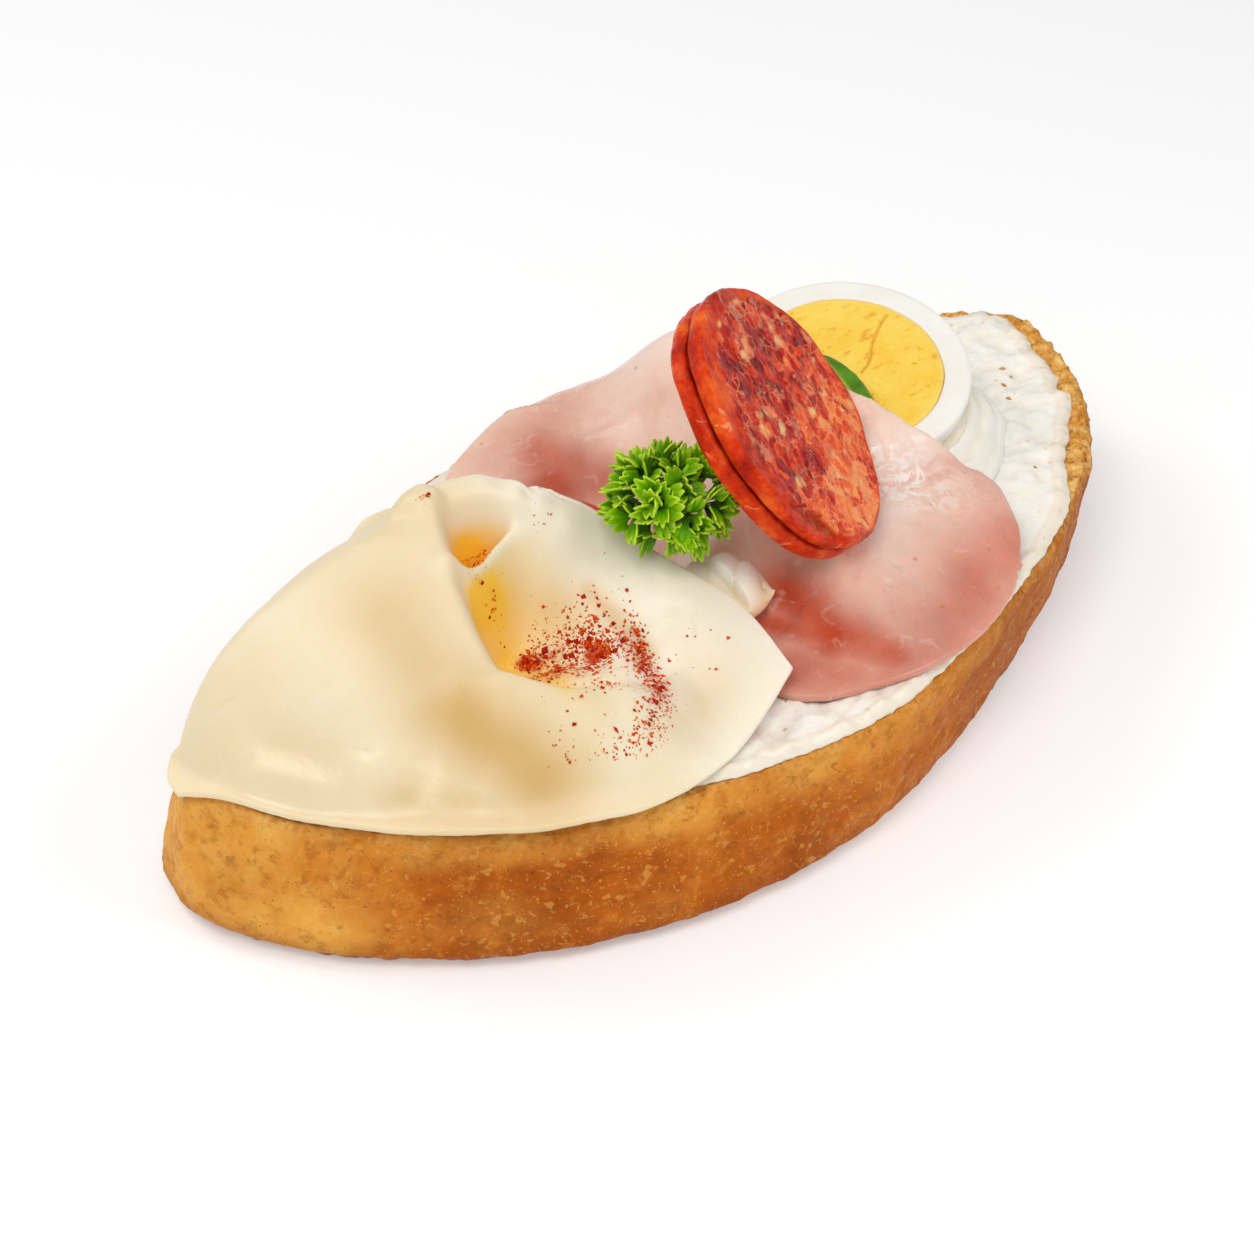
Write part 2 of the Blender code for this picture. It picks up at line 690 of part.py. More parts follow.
def main():
    clear_scene()
    collection = bpy.data.collections.new(COLLECTION)
    bpy.context.scene.collection.children.link(collection)

    crust = material("crust", (0.52, 0.27, 0.10), 0.62)
    cream = material("cream_spread", (0.90, 0.86, 0.78), 0.42, subsurface=0.1)
    cheese = material("cheese", (0.88, 0.76, 0.50), 0.40, subsurface=0.1)
    ham = material("ham", (0.78, 0.40, 0.32), 0.38, subsurface=0.1)
    salami = material("salami", (0.52, 0.07, 0.03), 0.30)
    white = material("egg_white", (0.90, 0.88, 0.84), 0.35, subsurface=0.1)
    yolk = material("egg_yolk", (0.93, 0.58, 0.08), 0.60)
    mayo = material("mayonnaise", (0.90, 0.82, 0.62), 0.30)
    tomato = material("tomato", (0.70, 0.05, 0.02), 0.25)
    green = material("gherkin", (0.10, 0.22, 0.02), 0.30)
    leaf = material("parsley_leaf", (0.06, 0.20, 0.02), 0.50)

    make_bread(crust)
    make_spread(cream)
    make_ham(ham)
    make_cheese(cheese)

    normal = Vector(SALAMI_NORMAL).normalized()
    make_salami("salami_front", SALAMI_FACE, normal, SALAMI_RADIUS, 0.5, 0.6, salami)
    behind = Vector(SALAMI_FACE) - normal * (SALAMI_THICK + 0.5) + Vector((0.3, 0.3, -0.5))
    make_salami("salami_back", behind, normal, SALAMI_RADIUS, 0.5, 0.9, salami)

    make_egg(white, yolk)
    make_mayo_egg(mayo)
    make_mayo_centre(mayo)
    make_gherkin(green)

    heading = math.atan2(AWAY[1], AWAY[0])
    x, y = from_lay(-20.0, -12.6)
    make_tomato("tomato_back", (x, y, 30.2), TOMATO_TILT, heading, TOMATO_RADIUS, TOMATO_THICK, tomato)
    make_tomato("tomato_front", (-14.5, -23.9, 25.8), math.radians(-2.0), math.radians(-70.0), 5.3, 1.9, tomato)

    make_parsley(leaf)
    bpy.context.view_layer.update()


main()
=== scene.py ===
"""Looks for the open sandwich: fine meshes, food materials, camera and light.

Lengths are millimetres in the row frame unless a name says metres; MM turns
them into metres where a vertex is placed.
"""
import math

import bpy
import numpy as np
from mathutils import Matrix, Vector


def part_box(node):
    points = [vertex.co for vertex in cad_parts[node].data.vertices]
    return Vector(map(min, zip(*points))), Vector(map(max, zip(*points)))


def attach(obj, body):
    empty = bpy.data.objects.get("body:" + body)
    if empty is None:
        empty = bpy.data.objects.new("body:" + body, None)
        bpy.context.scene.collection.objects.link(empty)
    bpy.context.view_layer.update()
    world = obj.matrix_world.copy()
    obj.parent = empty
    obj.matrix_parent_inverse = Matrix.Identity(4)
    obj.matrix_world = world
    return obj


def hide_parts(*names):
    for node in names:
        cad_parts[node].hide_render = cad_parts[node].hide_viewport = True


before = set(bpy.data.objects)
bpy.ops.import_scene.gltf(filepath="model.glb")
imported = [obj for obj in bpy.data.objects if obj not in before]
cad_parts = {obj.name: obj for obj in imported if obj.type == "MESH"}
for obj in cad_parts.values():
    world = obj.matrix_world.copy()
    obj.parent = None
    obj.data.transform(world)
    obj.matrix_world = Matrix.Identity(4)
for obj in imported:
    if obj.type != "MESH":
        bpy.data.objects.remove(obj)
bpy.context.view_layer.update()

MM = 0.001
TAU = 2 * math.pi


# ------------------------------------------------------------------ noise
_RNG = np.random.default_rng(41)
_PERM = _RNG.permutation(256)
_GRAD = _RNG.normal(size=(256, 3))
_GRAD /= np.linalg.norm(_GRAD, axis=1)[:, None]
_CELL = _RNG.random((256, 3))


def smooth(t):
    t = np.clip(t, 0.0, 1.0)
    return t * t * (3.0 - 2.0 * t)


def mix(a, b, t):
    return a + (b - a) * t


def _hash(i, j, k):
    return _PERM[(_PERM[(_PERM[i & 255] + j) & 255] + k) & 255]


def perlin(x, y, z=0.0, seed=0):
    """Gradient noise, about -1 to 1, with lumps about one unit wide."""
    x, y, z = np.broadcast_arrays(
        np.asarray(x, float) + 17.31 * seed, np.asarray(y, float) - 9.17 * seed, np.asarray(z, float) + 3.73 * seed
    )
    i, j, k = (np.floor(a).astype(int) for a in (x, y, z))
    fx, fy, fz = x - i, y - j, z - k
    ux, uy, uz = (f * f * f * (f * (f * 6 - 15) + 10) for f in (fx, fy, fz))

    def corner(a, b, c):
        g = _GRAD[_hash(i + a, j + b, k + c)]
        return g[..., 0] * (fx - a) + g[..., 1] * (fy - b) + g[..., 2] * (fz - c)

    x00 = mix(corner(0, 0, 0), corner(1, 0, 0), ux)
    x10 = mix(corner(0, 1, 0), corner(1, 1, 0), ux)
    x01 = mix(corner(0, 0, 1), corner(1, 0, 1), ux)
    x11 = mix(corner(0, 1, 1), corner(1, 1, 1), ux)
    return 1.7 * mix(mix(x00, x10, uy), mix(x01, x11, uy), uz)


def fbm(x, y, z=0.0, octaves=4, seed=0, gain=0.5):
    total, scale, amount = 0.0, 1.0, 1.0
    for o in range(octaves):
        total = total + amount * perlin(np.asarray(x) * scale, np.asarray(y) * scale, np.asarray(z) * scale, seed + o)
        scale *= 2.03
        amount *= gain
    return total


def cells(x, y, z=0.0, seed=0):
    """Distances to the nearest and second nearest cell point, in cell widths."""
    x, y, z = np.broadcast_arrays(
        np.asarray(x, float) + 5.13 * seed, np.asarray(y, float) + 2.71 * seed, np.asarray(z, float) - 1.9 * seed
    )
    i, j, k = (np.floor(a).astype(int) for a in (x, y, z))
    first = np.full(x.shape, 9.0)
    second = np.full(x.shape, 9.0)
    for a in (-1, 0, 1):
        for b in (-1, 0, 1):
            for c in (-1, 0, 1):
                p = _CELL[_hash(i + a, j + b, k + c)]
                d = np.sqrt(
                    (i + a + p[..., 0] - x) ** 2 + (j + b + p[..., 1] - y) ** 2 + (k + c + p[..., 2] - z) ** 2
                )
                second = np.minimum(second, np.maximum(first, d))
                first = np.minimum(first, d)
    return first, second


# ----------------------------------------------------------------- meshes
def volume_of(verts, tris):
    a, b, c = verts[tris[:, 0]], verts[tris[:, 1]], verts[tris[:, 2]]
    return float(np.einsum("ij,ij->i", a, np.cross(b, c)).sum() / 6)


def make_object(name, verts, faces, mats, attrs=None, material_index=None):
    """A mesh object from millimetre vertices; faces is a list of index arrays."""
    verts = np.asarray(verts, float)
    tris = np.concatenate([f[:, :3] for f in faces] + [f[:, [0, 2, 3]] for f in faces if f.shape[1] == 4])
    if volume_of(verts, tris) < 0:
        faces = [f[:, ::-1] for f in faces]
    mesh = bpy.data.meshes.new(name)
    loops = np.concatenate([f.reshape(-1) for f in faces]).astype(np.int32)
    sizes = np.concatenate([np.full(len(f), f.shape[1]) for f in faces]).astype(np.int32)
    starts = np.concatenate([[0], np.cumsum(sizes)[:-1]]).astype(np.int32)
    mesh.vertices.add(len(verts))
    mesh.vertices.foreach_set("co", (verts * MM).astype(np.float32).reshape(-1))
    mesh.loops.add(len(loops))
    mesh.loops.foreach_set("vertex_index", loops)
    mesh.polygons.add(len(sizes))
    mesh.polygons.foreach_set("loop_start", starts)
    mesh.polygons.foreach_set("use_smooth", np.ones(len(sizes), bool))
    for mat in mats:
        mesh.materials.append(mat)
    if material_index is not None:
        mesh.polygons.foreach_set("material_index", np.asarray(material_index, np.int32))
    mesh.update(calc_edges=True)
    mesh.validate()
    for key, values in (attrs or {}).items():
        made = mesh.attributes.new(key, "FLOAT", "POINT")
        made.data.foreach_set("value", np.asarray(values, np.float32).reshape(-1))
    obj = bpy.data.objects.new(name, mesh)
    bpy.context.scene.collection.objects.link(obj)
    return obj


def stitch(rows, cols, wrap=False, offset=0):
    """Quads of a grid whose vertex r, c is offset + r * cols + c."""
    r, c = np.meshgrid(np.arange(rows - 1), np.arange(cols if wrap else cols - 1), indexing="ij")
    n = (c + 1) % cols
    a = offset + r * cols + c
    b = offset + r * cols + n
    return np.stack([a, b, b + cols, a + cols], -1).reshape(-1, 4)


def ringed(name, rows, mats, attrs=None):
    """A closed body from rings (R, N, 3), with a pole at each end."""
    count, around = rows.shape[:2]
    body = rows.reshape(-1, 3)
    verts = np.concatenate([body, rows[0].mean(0)[None], rows[-1].mean(0)[None]])
    top, bottom = len(body), len(body) + 1
    k = np.arange(around)
    n = (k + 1) % around
    last = (count - 1) * around
    caps = np.concatenate(
        [
            np.stack([np.full(around, top), n, k], -1),
            np.stack([np.full(around, bottom), last + k, last + n], -1),
        ]
    )
    full = {}
    for key, v in (attrs or {}).items():
        v = np.broadcast_to(v, (count, around))
        full[key] = np.concatenate([v.reshape(-1), [v[0].mean(), v[-1].mean()]])
    return make_object(name, verts, [stitch(count, around, True), caps], mats, full)


def normals_of(grid):
    du = np.gradient(grid, axis=0)
    dv = np.gradient(grid, axis=1)
    n = np.cross(du, dv)
    n /= np.maximum(np.linalg.norm(n, axis=-1, keepdims=True), 1e-12)
    return n if n[..., 2].mean() > 0 else -n


def sheet(name, grid, thick, mats, attrs=None, bulge=0.22):
    """A closed slice from its upper surface (U, V, 3), with a softly rounded edge."""
    rows, cols = grid.shape[:2]
    n = normals_of(grid)
    n[..., 2] = np.maximum(n[..., 2], 0.45)
    n /= np.linalg.norm(n, axis=-1, keepdims=True)
    thick = np.broadcast_to(thick, (rows, cols))
    under = grid - n * thick[..., None]
    top = grid.copy()
    ring = np.concatenate(
        [
            np.stack([np.zeros(cols - 1, int), np.arange(cols - 1)], -1),
            np.stack([np.arange(rows - 1), np.full(rows - 1, cols - 1)], -1),
            np.stack([np.full(cols - 1, rows - 1), np.arange(cols - 1, 0, -1)], -1),
            np.stack([np.arange(rows - 1, 0, -1), np.zeros(rows - 1, int)], -1),
        ]
    )
    edge = top[ring[:, 0], ring[:, 1]]
    low = under[ring[:, 0], ring[:, 1]]
    along = np.roll(edge, -1, 0) - np.roll(edge, 1, 0)
    out = np.cross(along, n[ring[:, 0], ring[:, 1]])
    for _ in range(4):
        out = out / np.maximum(np.linalg.norm(out, axis=1, keepdims=True), 1e-9)
        out = out + np.roll(out, 1, 0) + np.roll(out, -1, 0)
    out /= np.maximum(np.linalg.norm(out, axis=1, keepdims=True), 1e-9)
    if ((edge - edge.mean(0)) * out).sum() < 0:
        out = -out
    t = thick[ring[:, 0], ring[:, 1]][:, None]
    bands = [mix(edge, low, s) + out * t * bulge * math.sin(math.pi * s) ** 0.6 for s in (0.16, 0.5, 0.84)]
    verts = np.concatenate([top.reshape(-1, 3), under.reshape(-1, 3)] + bands)
    half, m = rows * cols, len(ring)
    index = ring[:, 0] * cols + ring[:, 1]
    chain = [index, 2 * half + np.arange(m), 2 * half + m + np.arange(m), 2 * half + 2 * m + np.arange(m), half + index]
    quads = [stitch(rows, cols), stitch(rows, cols, offset=half)[:, ::-1]]
    for a, b in zip(chain, chain[1:]):
        quads.append(np.stack([a, b, np.roll(b, -1), np.roll(a, -1)], -1))
    # the side strips face the same way as the top's own winding
    full = {}
    for key, v in (attrs or {}).items():
        v = np.broadcast_to(v, (rows, cols))
        side = v[ring[:, 0], ring[:, 1]]
        full[key] = np.concatenate([v.reshape(-1), v.reshape(-1), side, side, side])
    flags = np.concatenate([np.zeros(2 * half), np.ones(3 * m)])
    full["cut"] = flags
    obj = make_object(name, verts, quads, mats, full)
    return obj


def blurred(values, passes):
    for _ in range(passes):
        padded = np.pad(values, 1, mode="edge")
        values = (
            padded[:-2, 1:-1] + padded[2:, 1:-1] + padded[1:-1, :-2] + padded[1:-1, 2:] + 2 * padded[1:-1, 1:-1]
        ) / 6
    return values


def disc_grid(count):
    """u, v from -1 to 1 bent into an even disc: returns radius and angle."""
    s = np.linspace(-1, 1, count)
    u, v = np.meshgrid(s, s, indexing="ij")
    x = u * np.sqrt(1 - v * v / 2)
    y = v * np.sqrt(1 - u * u / 2)
    return np.hypot(x, y), np.arctan2(y, x)


# ------------------------------------------------- the sandwich's own shape
RIM = {
    "centre": (2.4, 2.6),
    "half": (83.2, 43.7),
    "power": 1.45,
    "turn": 0.094,
    "bow": 0.141,
    "waves": ((2, 0.003, -0.011), (3, -0.003, -0.024), (4, -0.042, -0.010), (5, -0.006, -0.004)),
}
BASE = {
    "centre": (-1.6, 4.6),
    "half": (79.9, 40.4),
    "power": 1.80,
    "turn": 0.056,
    "bow": 0.066,
    "waves": ((2, -0.002, 0.013), (3, 0.020, 0.007), (4, 0.001, -0.025), (5, 0.002, -0.005)),
}
BREAD_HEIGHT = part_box("bread")[1].z * 1000
CRUST_BELLY = 1.0
BASE_TUCK = 2.2
RIM_ROUND = 0.7
LOAF_MIDDLE = (0.0, 3.0)
SPREAD_TOP = 23.5
SPREAD_LUMP = 0.22
GAP = 0.35
CHEESE_THICK = 1.1
HAM_THICK = 1.3
SALAMI_RADIUS = 19.3
SALAMI_THICK = 2.4
SALAMI_FACE = (10.9, -6.7, 49.6)
SALAMI_NORMAL = (0.556, -0.550, 0.618)
EGG_RADIUS = 18.2
YOLK_RADIUS = 14.2
EGG_THICK = 4.6
EGG_FACE = (37.4, 12.2, 34.8)
EGG_TILT = math.radians(11.5)
TOMATO_RADIUS = 15.0
TOMATO_THICK = 3.2
TOMATO_TILT = math.radians(22.0)
LAY_TURN = math.radians(-38.0)
ACROSS = (math.cos(LAY_TURN), math.sin(LAY_TURN))
AWAY = (-math.sin(LAY_TURN), math.cos(LAY_TURN))


VIEW_DOWN = math.radians(40.0)


def to_lay(x, y):
    return x * ACROSS[0] + y * ACROSS[1], x * AWAY[0] + y * AWAY[1]


def from_lay(p, q):
    return p * ACROSS[0] + q * AWAY[0], p * ACROSS[1] + q * AWAY[1]


def blend(heights, power=4.0):
    return sum(np.maximum(0.0, h) ** power for h in heights) ** (1.0 / power)


def along(x, y, x0, y0, x1, y1):
    dx, dy = x1 - x0, y1 - y0
    length = math.hypot(dx, dy)
    t = np.clip(((x - x0) * dx + (y - y0) * dy) / length**2, 0.0, 1.0)
    ex, ey = x - (x0 + dx * t), y - (y0 + dy * t)
    return t, np.where(dx * ey - dy * ex >= 0, 1.0, -1.0) * np.hypot(ex, ey)


def fold(x, y, start, end, left, right):
    t, d = along(x, y, start[0], start[1], end[0], end[1])
    width = np.where(d > 0, left, right)
    return mix(start[2], end[2], t) * np.exp(-((np.abs(d) / width) ** 2.2))


def chain(x, y, crest, left, right):
    out = None
    for a, b in zip(crest, crest[1:]):
        h = fold(x, y, a, b, left, right)
        out = h if out is None else np.maximum(out, h)
    return out


def rolled(x, y, crest, left, right):
    """A rounded roll: flatter on top than a fold, with steeper sides."""
    out = None
    for a, b in zip(crest, crest[1:]):
        t, d = along(x, y, a[0], a[1], b[0], b[1])
        h = mix(a[2], b[2], t) * np.exp(-((np.abs(d) / np.where(d > 0, left, right)) ** 4))
        out = h if out is None else np.maximum(out, h)
    return out


def spot(x, y, cx, cy, rx, ry=None, turn=0.0):
    """1 at a point, falling smoothly to 0 around it."""
    ry = rx if ry is None else ry
    c, s = math.cos(turn), math.sin(turn)
    dx, dy = x - cx, y - cy
    return np.exp(-(((c * dx + s * dy) / rx) ** 2 + ((-s * dx + c * dy) / ry) ** 2))


def stroke(x, y, x0, y0, x1, y1, width):
    """1 on a line between two points, falling to 0 beside it."""
    return np.exp(-((along(x, y, x0, y0, x1, y1)[1] / width) ** 2))


def spline(points, t):
    points = np.asarray(points, float)
    last = len(points) - 1
    s = np.clip(np.asarray(t, float) * last, 0.0, last - 1e-9)
    i = s.astype(int)
    f = (s - i)[..., None]
    a, b = points[np.maximum(0, i - 1)], points[i]
    c, d = points[i + 1], points[np.minimum(last, i + 2)]
    return 0.5 * (2 * b + (c - a) * f + (2 * a - 5 * b + 4 * c - d) * f**2 + (3 * b - a - 3 * c + d) * f**3)


def outline(shape, angle, inset):
    a, b = shape["half"][0] - inset, shape["half"][1] - inset
    c, s = np.cos(angle), np.sin(angle)
    n = shape["power"]
    r = (np.abs(c) ** n + np.abs(s) ** n) ** (-1.0 / n)
    wave = 1.0
    for k, wc, ws in shape["waves"]:
        wave = wave + wc * np.cos(k * angle) + ws * np.sin(k * angle)
    r = r * wave
    x, y = a * c * r, b * s * r
    y = y + shape["bow"] * x * x / a
    ct, st = math.cos(shape["turn"]), math.sin(shape["turn"])
    return shape["centre"][0] + ct * x - st * y, shape["centre"][1] + st * x + ct * y


_A = np.linspace(-math.pi, math.pi, 2881)
_OX, _OY = outline(RIM, _A, 0.0)
_POLAR = np.arctan2(_OY - LOAF_MIDDLE[1], _OX - LOAF_MIDDLE[0])
_ORDER = np.argsort(_POLAR)
_POLAR, _REACH = _POLAR[_ORDER], np.hypot(_OX - LOAF_MIDDLE[0], _OY - LOAF_MIDDLE[1])[_ORDER]


def rim_share(x, y):
    dx, dy = x - LOAF_MIDDLE[0], y - LOAF_MIDDLE[1]
    return np.hypot(dx, dy) / np.interp(np.arctan2(dy, dx), _POLAR, _REACH, period=TAU)


def loaf_span(x):
    half = np.linspace(0.0, math.pi, 1441)
    bx, by = outline(RIM, half, 0.5)
    fx, fy = outline(RIM, -half, 0.5)
    return np.interp(x, fx[::-1], fy[::-1]), np.interp(x, bx[::-1], by[::-1])


def rim_lift(x, y):
    """The loaf's cut edge rises a little near the cheese end."""
    return 1.9 * spot(x, y, -75.5, 0.8, 6.0, 6.5, -0.9) - 0.4 * spot(x, y, -50.0, -24.0, 10.0, 8.0)


# --- ham
HAM_FLOOR = SPREAD_TOP + SPREAD_LUMP + GAP + HAM_THICK + 0.1
HAM_CENTRE = (8.0, 0.0)
GHERKIN_LINE = (35.8, 15.0, 32.9, -1.5)
HAM_EDGE = (
    (32.5, 4.5), (27.0, 16.0), (25.0, 36.0), (6.0, 40.0), (-13.0, 37.5),
    (-24.0, 28.0), (-24.0, 10.0), (-15.0, -6.0), (-8.5, -17.0), (-7.6, -28.5),
    (3.0, -34.5), (16.0, -36.0), (34.0, -28.5), (42.5, -15.0), (39.5, -4.0),
)


def egg_plane(x, y):
    dx, dy = x - EGG_FACE[0], y - EGG_FACE[1]
    return EGG_FACE[2] + (dx * AWAY[0] + dy * AWAY[1]) * math.tan(EGG_TILT)


def ham_height(x, y):
    values = [
        chain(x, y, ((-16, 38, 1.0), (6, 35, 5.0), (19, 27, 13.0)), 8, 20),
        chain(x, y, ((19, 27, 13.0), (13, 13, 10.5), (6, -2, 6.5)), 12, 10),
        chain(x, y, ((6, -2, 6.5), (12, -17, 5.0)), 9, 8),
    ]
    dx, dy = x - EGG_FACE[0], y - EGG_FACE[1]
    over = smooth((26.0 - np.hypot(dx, dy)) / 7.0)
    strip = along(x, y, *GHERKIN_LINE)[1]
    lift = HAM_THICK + 1.9 + 2.4 * np.exp(-((strip / 5.0) ** 2))
    values.append((egg_plane(x, y) + lift - HAM_FLOOR) * over)
    values.append(fold(x, y, (14, -16, 5.0), (36, -10, 5.5), 12, 13))
    return HAM_FLOOR + blend(values)


def _ham_table():
    knots = []
    for x, y in HAM_EDGE:
        dx, dy = x - HAM_CENTRE[0], y - HAM_CENTRE[1]
        knots.append(((math.atan2(dy, dx) / TAU) % 1.0, math.hypot(dx, dy)))
    knots.sort()
    knots = [(a - 1, r) for a, r in knots] + knots + [(a + 1, r) for a, r in knots]
    turns = np.linspace(0, 1, 1441)
    out = []
    for turn in turns:
        for i in range(1, len(knots) - 2):
            if knots[i][0] <= turn < knots[i + 1][0]:
                f = (turn - knots[i][0]) / (knots[i + 1][0] - knots[i][0])
                r0, r1, r2, r3 = (knots[j][1] for j in range(i - 1, i + 3))
                out.append(
                    0.5
                    * (
                        2 * r1
                        + (r2 - r0) * f
                        + (2 * r0 - 5 * r1 + 4 * r2 - r3) * f * f
                        + (3 * r1 - r0 - 3 * r2 + r3) * f**3
                    )
                )
                break
    return turns, np.array(out)


_HAM_TURNS, _HAM_REACH = _ham_table()


# Where the ham's edge draws in beside the egg: angles from the middle, and reaches.
DRAW_IN_ANGLE = (-0.80, -0.65, -0.46, -0.38, -0.31, -0.26, -0.18, -0.02, 0.14, 0.24, 0.40)
DRAW_IN_REACH = (40.0, 38.8, 37.2, 35.3, 32.4, 29.2, 26.7, 24.9, 24.2, 24.2, 24.4)


def ham_reach(angle):
    full = np.interp((angle / TAU) % 1.0, _HAM_TURNS, _HAM_REACH)
    turned = (angle + math.pi) % TAU - math.pi
    limit = np.interp(turned, DRAW_IN_ANGLE, DRAW_IN_REACH)
    inside = (turned > DRAW_IN_ANGLE[0]) & (turned < DRAW_IN_ANGLE[-1])
    return np.where(inside, np.minimum(full, limit), full)


# --- cheese
CHEESE_FLOOR = SPREAD_TOP + SPREAD_LUMP + GAP + CHEESE_THICK + 0.1


def dome_crest(x):
    t = np.maximum(0.0, -(x + 36.0) / 40.6)
    return 21.0 * np.maximum(0.0, 1.0 - t**2.4) ** 0.62


# The big fold's lip, seen from above: where the dome turns down into the pocket.
LIP_Y = (-16.6, -12.4, -6.7, -0.3, 4.1, 10.6)
LIP_X = (-39.6, -42.0, -41.9, -40.4, -38.4, -35.2)


def cheese_dome(x, y):
    crest = 8.0 - 0.08 * (x + 36.0)
    front, back = loaf_span(x)
    t = (y - crest) / np.where(y > crest, back - crest, crest - front)
    t = np.clip(t, -1.0, 1.0)
    bell = np.cos(math.pi / 2 * t) ** np.where(y < crest, 1.6, 2.0)
    lip = np.interp(y, LIP_Y, LIP_X)
    wall = smooth((lip + 4.2 - x) / 4.2)
    return dome_crest(x) * bell * wall


def cheese_plateau(x, y):
    p, q = to_lay(x, y)
    z = 37.4 - 0.016 * p + 0.296 * q
    z = z - 6.0 * np.exp(-(((p + 23.5) / 8.5) ** 2 + ((q + 21.5) / 6.0) ** 2))
    z = z - 0.95 * chain(x, y, ((-23, -9, 3.6), (-17.6, -13.5, 4.0), (-21.8, -21.0, 3.4), (-31.0, -29.0, 1.0)), 4.8, 4.8)
    z = z - 1.0 * np.exp(-(((p + 28.5) / 6.0) ** 2 + ((q + 14.0) / 3.4) ** 2))
    z = z + 3.3 * spot(x, y, -17.0, 5.2, 6.0, 5.0)
    return z - CHEESE_FLOOR


def cheese_strip(x, y):
    """The strip below the small opening, narrow at its left and widening into the saddle."""
    crest = (
        (-40.5, 1.0, 18.8, 2.1, 2.1), (-34.7, 1.8, 17.4, 2.5, 2.2), (-29.0, 4.6, 16.4, 4.4, 2.4),
        (-24.8, 6.2, 15.6, 7.4, 3.6), (-20.5, 7.0, 15.0, 9.0, 8.6),
    )
    out = None
    for a, b in zip(crest, crest[1:]):
        t, d = along(x, y, a[0], a[1], b[0], b[1])
        width = np.where(d > 0, mix(a[4], b[4], t), mix(a[3], b[3], t))
        h = mix(a[2], b[2], t) * np.exp(-((np.abs(d) / width) ** 2.0))
        out = h if out is None else np.maximum(out, h)
    return out


def in_view(x, y, z):
    """Millimetres to the right and up in the photograph's view of a point, so that a tint can follow what shows."""
    dx, dy, dz = x + 12.0, y, z - 20.0
    away = dx * AWAY[0] + dy * AWAY[1]
    depth = 1.0 + (away * math.cos(VIEW_DOWN) - dz * math.sin(VIEW_DOWN)) / 430.0
    up = away * math.sin(VIEW_DOWN) + dz * math.cos(VIEW_DOWN)
    return (dx * ACROSS[0] + dy * ACROSS[1]) / depth, up / depth


def cheese_detail(x, y):
    """Small dents, dimples and waves of the slice's surface."""
    z = 0.35 * perlin(x / 14, y / 14, 0, 3) * smooth((-x - 30) / 20)
    # pressed hollows and a low ridge near the cheese end
    z = z - 0.9 * spot(x, y, -70.5, 2.5, 3.4, 5.0, 0.5) + 0.6 * stroke(x, y, -72.5, -1.0, -66.5, -8.5, 1.6)
    z = z - 0.7 * spot(x, y, -66.5, -3.0, 2.4, 4.2, 0.7) + 0.4 * spot(x, y, -60.0, -11.0, 5.0, 2.2, -0.6)
    for cx, cy, r, d in (
        (-13.6, -11.7, 0.8, 0.40), (-11.6, -13.6, 0.45, 0.35), (-13.0, -15.2, 0.55, 0.40), (-12.3, -14.0, 0.35, 0.25),
        (-66.5, 4.0, 0.35, 0.25), (-60.4, -9.0, 0.4, 0.25), (-62.2, -4.0, 0.3, 0.2), (-56.0, -13.0, 0.45, 0.25),
    ):
        z = z - d * spot(x, y, cx, cy, r)
    z = z - 0.28 * stroke(x, y, -72.4, 7.0, -70.4, 6.2, 0.25)
    z = z + 0.05 * perlin(x / 1.6, y / 1.6, 0, 5) + 0.10 * perlin(x / 4.5, y / 4.5, 0, 6)
    return z


def cheese_height(x, y):
    floor = CHEESE_FLOOR - 1.2 * smooth((rim_share(x, y) - 0.93) / 0.07) + rim_lift(x, y)
    values = [
        cheese_dome(x, y),
        cheese_plateau(x, y) * smooth((x + 47.0) / 9.0),
        chain(x, y, ((-42.2, -13.5, 11.8), (-36.5, -18.4, 9.6), (-31.0, -19.6, 8.0), (-26.3, -19.2, 4.8)), 3.4, 10.0),
        cheese_strip(x, y),
        rolled(
            x, y,
            ((-37.0, 12.0, 20.6), (-32.5, 12.6, 20.7), (-28.0, 11.3, 20.6), (-25.0, 9.4, 19.4), (-22.3, 8.2, 16.2)),
            5.5, 4.4,
        ),
    ]
    return floor + blend(values, 6.0)


CHEESE_FRONT = ((-80.3, 5.2), (-68.0, -10.5), (-52.5, -25.3), (-37.0, -33.2), (-21.2, -33.4), (-6.8, -28.2))
CHEESE_RIGHT = ((-6.8, -28.2), (-6.2, -17.4), (-8.8, -8.0), (-12.5, 1.6), (-18.8, 8.6))
CHEESE_BACK = ((-77.0, 12.0), (-66.5, 17.5), (-52.0, 22.5), (-38.0, 23.5), (-27.5, 18.5), (-18.8, 8.6))
CHEESE_LEFT = ((-80.3, 5.2), (-79.5, 8.8), (-77.0, 12.0))


def crowd(t, place, amount):
    def shift(s):
        return s - amount * np.sin(TAU * (s - place)) / TAU

    return (shift(t) - shift(0.0)) / (shift(1.0) - shift(0.0))


def cheese_plan(u, v):
    front, back = spline(CHEESE_FRONT, u), spline(CHEESE_BACK, u)
    left, right = spline(CHEESE_LEFT, v), spline(CHEESE_RIGHT, v)
    c00, c10 = np.array(CHEESE_FRONT[0]), np.array(CHEESE_FRONT[-1])
    c01, c11 = np.array(CHEESE_BACK[0]), np.array(CHEESE_BACK[-1])
    u, v = u[..., None], v[..., None]
    return (
        (1 - v) * front + v * back + (1 - u) * left + u * right
        - (1 - u) * (1 - v) * c00 - u * (1 - v) * c10 - (1 - u) * v * c01 - u * v * c11
    )


